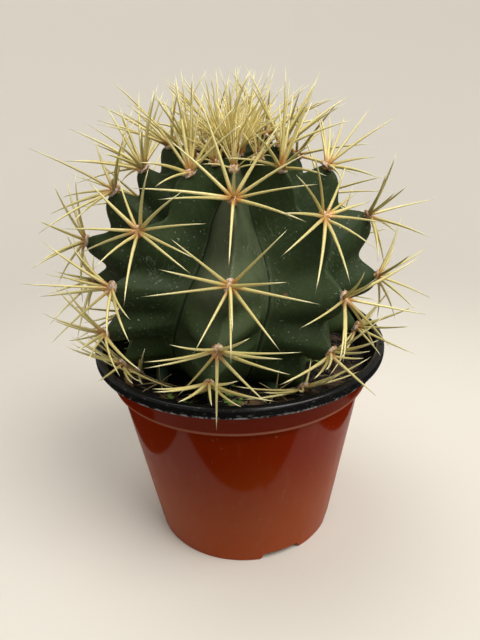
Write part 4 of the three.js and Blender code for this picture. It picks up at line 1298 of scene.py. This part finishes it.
def stem_tree(graph, ports):
    """Bends the chart into the ribbed, scalloped globe, leans it and stands it in the soil."""
    chart, across = graph.read("chart", VECTOR), graph.read("across")
    turn, latitude = chart.part("X"), chart.part("Y") * math.radians(1)
    dip = (graph.read("way") ** ports["Scallop lean"] * math.pi).sin()
    valley = dip * dip
    c, s = latitude.cos().at_least(0.0), latitude.sin()
    azimuth = ports["Rib azimuth"] + turn * (2 * math.pi / len(AREOLES)) + ports["Rib twist"] * (1 - s)
    rounding = ports["Crest rounding"] * (1 + ports["Nose rounding"] * (1 - valley) ** 4)
    keel = (across * across + rounding * rounding) ** 0.5 - rounding
    whole = (1 + rounding * rounding) ** 0.5 - rounding
    low = (-s).at_least(0.0)
    power = (ports["Flank power"] - valley * ports["Hollowing"]) * (1 - ports["Flank foot"] * low)
    flank = (keel / whole) ** power
    furrow = ports["Furrow depth"] * c
    furrow = furrow * (1 + ports["Furrow rise"] * s.at_least(0.0) ** 2.5 - ports["Furrow foot"] * low)
    scallop = ports["Scallop depth"] * (c / ports["Scallop fade"]).at_most(1.0) * valley
    scallop = scallop * (1 + ports["Low scallops"] * low)
    depth = furrow * flank + scallop * (1 - flank)
    sunken = latitude.step(ports["Crown latitude"], math.pi / 2)
    ring = ports["Radius"] * c ** ports["Shoulder"]
    x, y = azimuth.sin(), -azimuth.cos()
    sideways = c / ports["Radius"]
    outward = graph.vectors("NORMALIZE", graph.vector(x * sideways, y * sideways, s / ports["Half height"]))
    at = graph.vector(ring * x + ports["Crown right"] * sunken, ring * y + ports["Crown back"] * sunken,
                      ports["Half height"] * s - ports["Crown dip"] * sunken)
    place = graph.vectors("SUBTRACT", at, graph.scaled(outward, depth))
    lumps = (graph.noise(place, ports["Lump scale"], 2.0) - 0.5) * ports["Lump height"]
    place = graph.vectors("ADD", place, graph.scaled(outward, lumps * flank.at_least(0.2)))
    leaning = graph.turned(graph.vector(ports["Lean forward"], ports["Lean aside"], 0.0))
    leant = graph.add("FunctionNodeRotateVector", {"Vector": place, "Rotation": leaning})
    world = graph.vectors("ADD", leant, ports["Centre"])
    cut_off = graph.vector(world.part("X"), world.part("Y"), world.part("Z").at_least(ports["Foot"]))
    close_tree(graph, graph.moved(ports["Geometry"], position=cut_off), ports["Material"])


class CACTUS_OT_stem(bpy.types.Operator):
    """Grows the ribbed stem"""

    bl_idname = "cactus.stem"
    bl_label = "Stem"

    def execute(self, context):
        scene = context.scene
        level = scene.cactus_soil.level
        skin = material("cactus_skin", skin_paint, scene.cactus_colours, level, **{SPECULAR: 0.2})
        chart = stem_chart(Stem(scene.cactus_stem))
        grow("stem", "cactus_skin", stem_tree, chart, {
            **inputs_of(scene.cactus_stem), "Foot": level - STEM_SINK, "Lump scale": LUMP_SCALE,
            "Lump height": LUMP_HEIGHT, "Material": skin,
        }, "cactus")
        return {"FINISHED"}


# ---- Spines and felt

SPINE_SINK = 3 * MM       # how far the root of a spine lies under the surface
SPINE_SIDES, SPINE_SEGMENTS = 6, 6
HAIR_DENSITY, CROWN_HAIR_DENSITY = 1.1e6, 1.6e6     # hairs for each square metre of felt
HAIR_THICKNESS, FELT_LUMPS = 0.09 * MM, 1.0 * MM


def spine_paint(graph, colours, middle):
    """Straw yellow: amber at the root, paler at the tip, with fine streaks along it and painted shade down
    one side.
    """
    along, dry = graph.read("along"), graph.read("dry")
    # The flank marks one side of each spine, which gets painted shade.
    flank = graph.read("flank").step(0.15, 0.95)
    streak = graph.noise(graph.here(), 1500.0, 2.0)
    return {
        "Base Color": graph.layers(
            middle,
            (graph.read("tint"), (0.60, 0.50, 0.16)),
            (along.step(0.55, 1.0), colours.straw_tip),
            (1 - along.step(0.07, 0.25), colours.amber),
            # Fine streaks along the spine, and painted shade darkening one side of it.
            (streak.step(0.4, 0.7) * 0.25 + flank * 0.35, (0.42, 0.29, 0.09)),
            (dry, (0.24, 0.16, 0.085)),
        ),
        "Roughness": 0.24 + streak * 0.12 + dry * 0.4,
        "Normal": graph.bump(streak, 0.3, 0.0002),
    }


def felt_paint(graph, colours):
    """Matted wool: pale, and orange-brown deep down."""
    clump = graph.noise(graph.here(), 560.0, 4.0, 0.65)
    return {
        "Base Color": graph.layers(
            (0.42, 0.22, 0.09),
            (clump.step(0.42, 0.56), colours.felt),
            (graph.read("tint") * clump.step(0.45, 0.75) * 0.8, (0.88, 0.80, 0.70)),
        ),
        "Roughness": 0.85 + clump * 0.15,
        "Normal": graph.bump(clump, 0.8, 0.0006),
    }


def spine_tree(graph, ports):
    """Stands a tapered, slightly bowed spine on each point, along its aim."""
    x, y, along = (graph.place().part(axis) for axis in "XYZ")
    swell = (1 - along).at_least(0.001) ** (ports["Taper"] - 1)
    shaped = graph.moved(graph.cone(ports["Sides"], ports["Segments"]),
                         position=graph.vector(x * swell, y * swell, along))
    # The flank attribute marks one side of each spine for the painted shade.
    marked = graph.store(graph.store(shaped, "along", along), "flank", x)
    thick = graph.read("thick") * ports["Thickness"]
    stood = graph.set_on(ports["Geometry"], marked, graph.facing(graph.read("aim", VECTOR)),
                         graph.vector(thick, thick, graph.read("reach")))
    way = graph.read("along")
    arch = way * (1 - way) * 4.0 * graph.read("reach") * ports["Bow"]
    bowed = graph.moved(stood, offset=graph.scaled(graph.read("bow", VECTOR), arch))
    close_tree(graph, bowed, ports["Material"])


def felt_tree(graph, ports):
    """Swells a woolly pad on each point and covers it with short hairs."""
    outwards = graph.facing(graph.read("outward", VECTOR))
    turn = graph.facing(graph.read("up", VECTOR), outwards, "Y", pivot_axis="Z")
    pads = graph.set_on(ports["Geometry"], graph.ball(4), turn, graph.read("extent", VECTOR))
    swell = (graph.noise(graph.place(), 420.0, 3.0, 0.6) - 0.5) * ports["Lump height"]
    lumpy = graph.moved(pads, offset=graph.scaled(graph.add("GeometryNodeInputNormal"), swell))
    points = graph.scattered(lumpy, ports["Hair density"], ports["Seed"])
    lean = graph.vectors("ADD", points.other("Normal"), graph.random((-0.9,) * 3, (0.9,) * 3, 8))
    hairs = graph.set_on(points, graph.cone(3, 2, ports["Hair thickness"], ports["Hair length"]),
                         graph.facing(lean), graph.vector(1.0, 1.0, graph.random(0.45, 1.0, 9)))
    both = graph.tree.nodes.new("GeometryNodeJoinGeometry")
    for part in (lumpy, hairs):
        graph.tree.links.new(part.socket, both.inputs[0])
    close_tree(graph, Link(graph, both.outputs[0]), ports["Material"])


def grow_spines(name, slot, spines, outwards, finish, size, *nodes, radius=None, bow=None,
                sink=SPINE_SINK, tint=0.0, dry=0.0, thick=1.0):
    """Makes a piece of spines, each given as its root and its tip, that bow to their outwards."""
    roots, tips = (np.array([spine[i] for spine in spines]) for i in (0, 1))
    aims, reach = unit(tips - roots), np.linalg.norm(tips - roots, axis=1)
    outwards = np.asarray(outwards)
    bows = outwards - aims * (outwards * aims).sum(1)[:, None]
    bows = bows / np.maximum(0.25, np.linalg.norm(bows, axis=1))[:, None]
    points = new_mesh(name + "_points", roots - aims * sink, aim=aims, reach=reach + sink, bow=bows,
                      tint=tint, dry=dry, thick=thick)
    grow(name, slot, spine_tree, points, {
        "Thickness": radius or size.radius, "Sides": SPINE_SIDES, "Segments": SPINE_SEGMENTS,
        "Bow": bow or size.bow, "Taper": size.taper, "Material": finish,
    }, *nodes)


def pad_points(areoles, size, random):
    """Where the felt pads lie, how they are turned and how large they are."""
    extents = [(size.pad_radius * (0.66 + 0.18 * random()), size.pad_radius * (0.80 + 0.24 * random()),
                size.pad_height * (0.70 + 0.20 * random())) for _ in areoles]
    return new_mesh("pad_points", [areole.at for areole in areoles], extent=extents,
                    outward=[areole.outward for areole in areoles],
                    up=[areole.up for areole in areoles], tint=[random() for _ in areoles])


def grow_felt(name, points, size, finish, density=HAIR_DENSITY):
    grow(name, "young_spines", felt_tree, points, {
        "Lump height": FELT_LUMPS, "Hair density": density, "Seed": 4,
        "Hair thickness": HAIR_THICKNESS, "Hair length": size.felt_length, "Material": finish,
    })


class CACTUS_OT_spines(bpy.types.Operator):
    """Grows the felt pads and the stars of spines, and the tuft of the crown"""

    bl_idname = "cactus.spines"
    bl_label = "Spines and crown"

    def execute(self, context):
        scene = context.scene
        size, crown, colours = scene.cactus_spines, scene.cactus_crown, scene.cactus_colours
        stem = Stem(scene.cactus_stem)
        spines = Spines(stem, scene.cactus_pot, scene.cactus_soil)
        straw = material("spine_straw", spine_paint, colours, colours.straw, **{SPECULAR: 0.8})
        young = material("young_straw", spine_paint, colours, colours.young_straw, **{SPECULAR: 0.8})
        felt = material("areole_felt", felt_paint, colours)
        random, looks = seeded(size.seed), seeded(SEEDS["looks"])
        areoles = stem_areoles(stem, scene.cactus_soil)
        made, outwards = [], []
        for areole in areoles:
            for root, tip in spines_of(spines, areole, size, random):
                made.append((root, tip))
                outwards.append(areole.outward)
        grow_spines("spines", "young_spines", made, outwards, straw, size,
                    tint=[looks() for _ in made], thick=[0.85 + 0.3 * looks() for _ in made])
        grow_felt("areole_felt", pad_points(areoles, size, looks), size, felt)
        self.grow_crown(spines, stem, size, crown, young, felt)
        return {"FINISHED"}

    def grow_crown(self, spines, stem, size, crown, straw, felt):
        """The felt cushion in the sunken top and the young spines that stand in it."""
        random, looks = seeded(crown.seed), seeded(SEEDS["crown looks"])
        top, up = stem.point(0, 0, 90), stem.turn @ np.array(UP)
        turn = turned_to(up)
        made, outwards = [], []
        for i in range(crown.spines):
            bud = i % crown.buds
            out = math.sqrt((bud + 0.5) / crown.buds)
            azimuth = bud * GOLDEN_ANGLE
            lean = math.radians(4 + 30 * out)
            leaning = turned_to(polar(math.sin(lean), azimuth, math.cos(lean)))

            def draw():
                fan = math.radians(6 + 36 * random())
                around = i * GOLDEN_ANGLE + (2 * random() - 1) * 25
                reach = (20 + 20 * random()) * MM
                root = polar(out * crown.radius * 0.75, azimuth, crown.height * (1 - 0.4 * out))
                direction = leaning @ polar(math.sin(fan), around, math.cos(fan))
                return turn @ root + top, turn @ direction, reach

            root, tip, clear = spines.grow("crown", up, draw)
            if clear:
                spines.keep("crown", root, tip)
                made.append((root, tip))
                outwards.append(unit(root - top + up * 0.004))
        grow_spines("crown_spines", "young_spines", made, outwards, straw, size, "crown",
                    radius=crown.spine_radius, tint=[0.5 * looks() for _ in made],
                    thick=[0.9 + 0.3 * looks() for _ in made])
        self.young_stars(stem, size, crown, straw, felt)
        wide = crown.radius * 0.6
        cushion = new_mesh("cushion_point", [top], extent=[(wide, wide, crown.height * 0.7)], outward=[up],
                           up=[turn @ np.array((0.0, 1.0, 0.0))], tint=[0.2])
        grow_felt("crown_felt", cushion, size, felt, CROWN_HAIR_DENSITY)

    def young_stars(self, stem, size, crown, straw, felt):
        """The next areole of each rib, on the edge of the sunken top: a dense fan of thin spines."""
        random = seeded(SEEDS["young stars"])
        buds = [Areole(stem, rib, (row[0] + 90) / 2) for rib, row in enumerate(AREOLES)]
        made, outwards = [], []
        for i in range(crown.fine_spines):
            bud = buds[i % len(buds)]
            lean, around = math.radians(6 + 64 * random()), 2 * math.pi * random()
            flat = bud.up * math.cos(around) + bud.side * math.sin(around)
            way = bud.outward * math.cos(lean) + flat * math.sin(lean)
            root = bud.at + flat * 1.3 * MM
            made.append((root, root + way * (14 + 14 * random()) * MM))
            outwards.append(bud.outward)
        grow_spines("crown_fine_spines", "young_spines", made, outwards, straw, size,
                    radius=crown.spine_radius, bow=0.08, sink=1 * MM,
                    tint=[0.7 * random() for _ in made], thick=[0.45 + 0.35 * random() for _ in made])
        grow_felt("young_felt", pad_points(buds, size, random), size, felt)


# ---- Low noses and weeds

# Narrow noses that the ribs stand on the soil with: their middle line and radii, in millimetres.
NOSES = (
    (((-34, -8, 106), (-38.5, -16, 101.5), (-39.3, -22, 98.5), (-39.3, -27, 96.2)), (4.2, 3.9, 3.5, 2.6)),
    (((0, -17, 104), (4, -25, 101.5), (10.5, -28, 99.5), (15.2, -33, 97), (16.2, -39, 95)),
     (3.4, 3.5, 3.4, 3.1, 2.4)),
    (((-14, -20, 104), (-14.6, -27, 100), (-14.4, -33, 97)), (4.4, 4.2, 3.2)),
)
# Dried cushions on them: place in millimetres, azimuth that they face, and number of spines.
DRIED_STARS = (((-39.4, -29.4, 98.0), -20, 9), ((16.0, -42.0, 97.6), 15, 9))
# Small weeds: place of the foot in millimetres, height and number of leaves.
WEEDS = (
    ((-6.3, -39.5, 94.5), 5.5, 4), ((-5.8, -49.5, 94.5), 4.5, 5), ((-2.1, -52.0, 94.5), 5.0, 4),
    ((37.5, -10.5, 94.5), 6.0, 4), ((-35.1, -45.0, 94.5), 4.0, 5), ((-24.0, -50.5, 94.5), 3.5, 3),
    ((-61.0, 12.0, 94.5), 5.0, 4), ((40.0, 44.0, 94.5), 5.5, 4),
)


def tube(line, radii, sides=16, steps=5):
    """A closed round stalk along a line of points, with rounded ends."""
    line, radii = np.array(line, float), np.array(radii, float)
    at = np.linspace(0, len(line) - 1, steps * (len(line) - 1) + 1)
    smooth = np.stack([np.interp(at, range(len(line)), axis) for axis in line.T], 1)
    for _ in range(3):
        smooth[1:-1] = (smooth[:-2] + smooth[1:-1] * 2 + smooth[2:]) / 4
    widths = np.interp(at, range(len(line)), radii)
    ways = unit(np.gradient(smooth, axis=0))
    caps = np.radians((75, 50, 25))
    first = [(smooth[0] - ways[0] * widths[0] * math.sin(a), ways[0], widths[0] * math.cos(a)) for a in caps]
    last = [(smooth[-1] + ways[-1] * widths[-1] * math.sin(a), ways[-1], widths[-1] * math.cos(a))
            for a in caps[::-1]]
    points, faces = [], []
    for middle, way, wide in [*first, *zip(smooth, ways, widths), *last]:
        side = unit(np.cross(way, UP))
        over = np.cross(side, way)
        for i in range(sides):
            a = 2 * math.pi * i / sides
            points.append(middle + (side * math.cos(a) + over * math.sin(a)) * wide)
    end, poles = len(points) - sides, len(points)
    points += [smooth[0] - ways[0] * widths[0], smooth[-1] + ways[-1] * widths[-1]]
    for low in range(0, end, sides):
        for i in range(sides):
            j = (i + 1) % sides
            faces.append((low + i, low + sides + i, low + sides + j, low + j))
    for i in range(sides):
        j = (i + 1) % sides
        faces += [(poles, i, j), (poles + 1, end + j, end + i)]
    return points, faces


def leaf_paint(graph, colours):
    """Fresh green with paler spots."""
    spot = graph.noise(graph.here(), 500.0, 2.0)
    coats = ((graph.read("tint"), (0.16, 0.27, 0.05)), (spot.step(0.5, 0.8) * 0.3, (0.22, 0.30, 0.10)))
    return {"Base Color": graph.layers(colours.weed, *coats), "Roughness": 0.42 + spot * 0.2}


def leaf_tree(graph, ports):
    """Sets a small cupped leaf on each point, along its way and of its own size."""
    x, y, z = (graph.place().part(axis) for axis in "XYZ")
    wide = 0.62 + (y * 0.5).step(-0.6, 0.5) * 0.42
    cup = (x * x + y * y) * ports["Cup"]
    leaf = graph.moved(graph.ball(3), position=graph.vector(x * wide, y + 0.9, z * 0.12 + cup))
    size = graph.read("wide")
    leaves = graph.set_on(ports["Geometry"], leaf, graph.turned(graph.read("turn", VECTOR)),
                          graph.vector(size, size, size))
    close_tree(graph, leaves, ports["Material"])


class CACTUS_OT_low_growth(bpy.types.Operator):
    """Makes the narrow noses at the foot of the stem, their dried cushions and the weeds"""

    bl_idname = "cactus.low_growth"
    bl_label = "Low noses and weeds"

    def execute(self, context):
        colours, size = context.scene.cactus_colours, context.scene.cactus_spines
        self.make_noses(bpy.data.materials["cactus_skin"])
        self.dry_stars(size, bpy.data.materials["spine_straw"])
        self.plant_weeds(size, material("weed_leaf", leaf_paint, colours))
        return {"FINISHED"}

    def make_noses(self, skin):
        points, faces = joined([tube(line, radii) for line, radii in NOSES])
        noses = new_mesh("low_noses", [point * MM for point in points], faces,
                         chart=np.zeros((len(points), 3)), across=0.5)
        settle(new_object("low_noses", noses, skin), "cactus_skin")

    def dry_stars(self, size, straw):
        random = seeded(SEEDS["dried stars"])
        made, outwards = [], []
        for place, azimuth, number in DRIED_STARS:
            middle = np.array(place) * MM
            outward = unit(polar(1.0, azimuth, 0.35))
            side = unit(np.cross(UP, outward))
            over = np.cross(outward, side)
            for i in range(number):
                turn = 2 * math.pi * (i + 0.5 * random()) / number
                way = side * math.cos(turn) + over * math.sin(turn) * 0.55 + outward * (0.25 + 0.3 * random())
                way[2] = max(way[2], -0.12)
                reach = (9 + 6 * random()) * MM
                made.append((middle, middle + unit(way) * reach))
                outwards.append(outward)
        grow_spines("dried_spines", "young_spines", made, outwards, straw, size, sink=1 * MM,
                    tint=0.8, dry=0.65, thick=0.6)

    def plant_weeds(self, size, leaf):
        random = seeded(SEEDS["weeds"])
        stalks, turns, widths, tints = [], [], [], []
        for foot, height, number in WEEDS:
            foot = np.array(foot) * MM
            for i in range(number):
                azimuth = 360 * (i + 0.6 * random()) / number
                top = foot + polar(0.32 * height * MM, azimuth, height * (0.6 + 0.5 * random()) * MM)
                stalks.append((foot, top))
                turns.append((math.radians(10 - 35 * random()), 0.0, math.radians(azimuth + 180)))
                widths.append((1.0 + 0.6 * random()) * MM)
                tints.append(random())
        points = new_mesh("leaf_points", [top for _, top in stalks], turn=turns, wide=widths, tint=tints)
        grow("weed_leaves", "cactus_skin", leaf_tree, points, {"Cup": 0.18, "Material": leaf})
        grow_spines("weed_stalks", "cactus_skin", stalks, UP, leaf, size, sink=0.0, tint=tints, thick=0.35)


# ---- Stage

TABLE_EDGE = -0.083       # the floor in front of this lies out of view and isn't mirrored in the pot
TABLE_SIDES = (-0.096, 0.110)       # nor is the floor to the left and right of these
FLOOR_SECTION = ((0.0, 0.0, 0), (0.72, 0.0, 0.34), (0.98, 0.75, 0))     # radius, height and rounding
FLOOR_ARC, FLOOR_RINGS, FLOOR_SEGMENTS = 14, 12, 96     # in the curve, in the flat part and round it
SHADE_WIDTH, SHADE_HEIGHT = 1.5, -0.02
# Name, place, what it shines at, width, share of the lamp's power, and colour.
SOFTBOXES = (
    ("key", (0.72, -0.66, 1.40), (0.0, 0.0, 0.1), 1.15, 1.0, (1.0, 0.975, 0.935)),
    ("top", (-0.30, 0.20, 1.40), (0.0, 0.0, 0.1), 1.0, 0.25, (1.0, 0.98, 0.95)),
    ("front", (0.35, -1.25, 0.55), (0.0, 0.0, 0.2), 0.5, 0.06, (1.0, 0.98, 0.95)),
)


def floor_paint(graph, colours):
    """Plain pale paint with hardly any unevenness, and a painted pool of light: lighter round the pot."""
    here = graph.here()
    cloud = graph.noise(here, 1.5, 2.0)
    # Painted pool of light: the floor is lighter round the pot.
    near = 1 - graph.vectors("LENGTH", here, out=1).step(0.13, 0.50)
    coats = ((near, colours.table), (cloud * 0.15, (0.5917, 0.5667, 0.5167)))
    return {"Base Color": graph.layers(colours.floor, *coats), "Roughness": 0.62 + cloud * 0.1}


def shade_paint(graph):
    """Nearly black, slightly cloudy."""
    cloud = graph.noise(graph.here(), 2.0, 2.0)
    return {"Base Color": graph.mix(cloud, (0.02, 0.016, 0.012), (0.04, 0.034, 0.028))}


class CACTUS_OT_stage(bpy.types.Operator):
    """Sets up the pale floor, the soft lights and the camera"""

    bl_idname = "cactus.stage"
    bl_label = "Stage"

    def execute(self, context):
        scene = context.scene
        stage = scene.cactus_stage
        self.lay_floor(material("floor_paint", floor_paint, scene.cactus_colours))
        self.add_shade(material("shade_paint", shade_paint))
        self.place_camera(scene, stage)
        self.place_lights(scene, stage)
        scene.view_settings.view_transform = "Standard"
        return {"FINISHED"}

    def lay_floor(self, paint):
        """The floor in four parts. The pot mirrors only the table top round it."""
        outline, _ = rounded(FLOOR_SECTION, FLOOR_ARC)
        flat = FLOOR_SECTION[1][0] / 2
        rings = [(flat * ring / FLOOR_RINGS, 0.0) for ring in range(FLOOR_RINGS)]
        points, faces, _ = lathed(rings + outline[1:], FLOOR_SEGMENTS)
        faces = [face[::-1] for face in faces]
        front, (left, right) = ((0.0, 1.0, 0.0), TABLE_EDGE), [((1.0, 0.0, 0.0), x) for x in TABLE_SIDES]
        for name, planes, lights_up, mirrored in (
            ("floor", ((front, True), (left, True), (right, False)), True, True),
            ("floor_left", ((front, True), (left, False)), True, False),
            ("floor_right", ((front, True), (right, True)), True, False),
            ("floor_front", ((front, False),), False, False),
        ):
            floor = new_object(name, new_mesh(name, points, faces), paint)
            for (normal, place), over in planes:
                self.keep(floor.data, normal, place, over)
            floor.visible_diffuse, floor.visible_glossy = lights_up, mirrored
            floor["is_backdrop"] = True

    def keep(self, mesh, normal, place, over):
        """Keeps the part of the floor over or under a place along a direction."""
        work = bmesh.new()
        work.from_mesh(mesh)
        bmesh.ops.bisect_plane(
            work, geom=[*work.verts, *work.edges, *work.faces], plane_co=Vector(normal) * place,
            plane_no=normal, clear_outer=not over, clear_inner=over,
        )
        work.to_mesh(mesh)
        work.free()

    def add_shade(self, paint):
        """The dark room below the table's edge, which only the pot mirrors."""
        signs = ((-1, -1), (1, -1), (1, 1), (-1, 1))
        corners = [(x * SHADE_WIDTH, y * SHADE_WIDTH, SHADE_HEIGHT) for x, y in signs]
        shade = new_object("shade", new_mesh("shade", corners, [(0, 1, 2, 3)]), paint)
        shade.visible_camera = shade.visible_diffuse = shade.visible_shadow = False
        shade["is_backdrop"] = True

    def place_camera(self, scene, stage):
        forward = Vector((0.0, math.cos(stage.pitch), -math.sin(stage.pitch)))
        right, up = Vector((1.0, 0.0, 0.0)), Vector((0.0, math.sin(stage.pitch), math.cos(stage.pitch)))
        c, s = math.cos(stage.roll), math.sin(stage.roll)
        axes = (right * c + up * s, up * c - right * s, -forward)
        data = bpy.data.cameras.new("camera")
        data.lens, data.sensor_width, data.clip_start, data.clip_end = stage.lens, 36.0, 0.01, 20.0
        camera = bpy.data.objects.new("camera", data)
        camera.matrix_world = Matrix.Translation(stage.camera) @ Matrix(axes).transposed().to_4x4()
        scene.collection.objects.link(camera)
        scene.camera = camera

    def place_lights(self, scene, stage):
        for name, place, target, width, power, tint in SOFTBOXES:
            data = bpy.data.lights.new(name, "AREA")
            data.shape, data.size, data.energy, data.color = "DISK", width, stage.lamp * power, tint
            lamp = bpy.data.objects.new(name, data)
            way = Vector(target) - Vector(place)
            lamp.matrix_world = Matrix.Translation(place) @ way.to_track_quat("-Z", "Y").to_matrix().to_4x4()
            scene.collection.objects.link(lamp)
        world = bpy.data.worlds.new("sky")
        world.use_nodes = True
        sky = world.node_tree.nodes["Background"]
        sky.inputs["Color"].default_value = (1.0, 0.985, 0.96, 1.0)
        sky.inputs["Strength"].default_value = stage.ambient
        scene.world = world


# ---- Add-on

STEPS = ("stage", "pot", "soil", "stem", "spines", "low_growth")


class CACTUS_PT_panel(bpy.types.Panel):
    """Lists the pieces and the sizes and colours they are made from"""

    bl_idname = "CACTUS_PT_panel"
    bl_label = "Potted round cactus"
    bl_space_type = "VIEW_3D"
    bl_region_type = "UI"
    bl_category = "Cactus"

    def draw(self, context):
        for step in STEPS:
            self.layout.operator(f"cactus.{step}")
        for name in GROUPS:
            box = self.layout.box()
            box.label(text=name.replace("cactus_", "").capitalize())
            group = getattr(context.scene, name)
            for key in group.bl_rna.properties.keys():
                if key not in ("rna_type", "name"):
                    box.prop(group, key)


GROUPS = {
    "cactus_stage": CACTUS_PG_stage,
    "cactus_pot": CACTUS_PG_pot,
    "cactus_soil": CACTUS_PG_soil,
    "cactus_stem": CACTUS_PG_stem,
    "cactus_spines": CACTUS_PG_spines,
    "cactus_crown": CACTUS_PG_crown,
    "cactus_colours": CACTUS_PG_colours,
}
OPERATORS = (
    CACTUS_OT_stage, CACTUS_OT_pot, CACTUS_OT_soil, CACTUS_OT_stem, CACTUS_OT_spines,
    CACTUS_OT_low_growth,
)


def register():
    for item in (*GROUPS.values(), *OPERATORS, CACTUS_PT_panel):
        bpy.utils.register_class(item)
    for name, group in GROUPS.items():
        setattr(bpy.types.Scene, name, PointerProperty(type=group))


def unregister():
    for name in GROUPS:
        delattr(bpy.types.Scene, name)
    for item in (CACTUS_PT_panel, *reversed(OPERATORS), *reversed(GROUPS.values())):
        bpy.utils.unregister_class(item)


def main():
    register()
    for step in STEPS:
        getattr(bpy.ops.cactus, step)()
    boxes = {"cad": CAD_BOX, "visual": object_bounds()}
    {name: [list(corner) for corner in box] for name, box in boxes.items()}


if __name__ == "__main__":
    main()
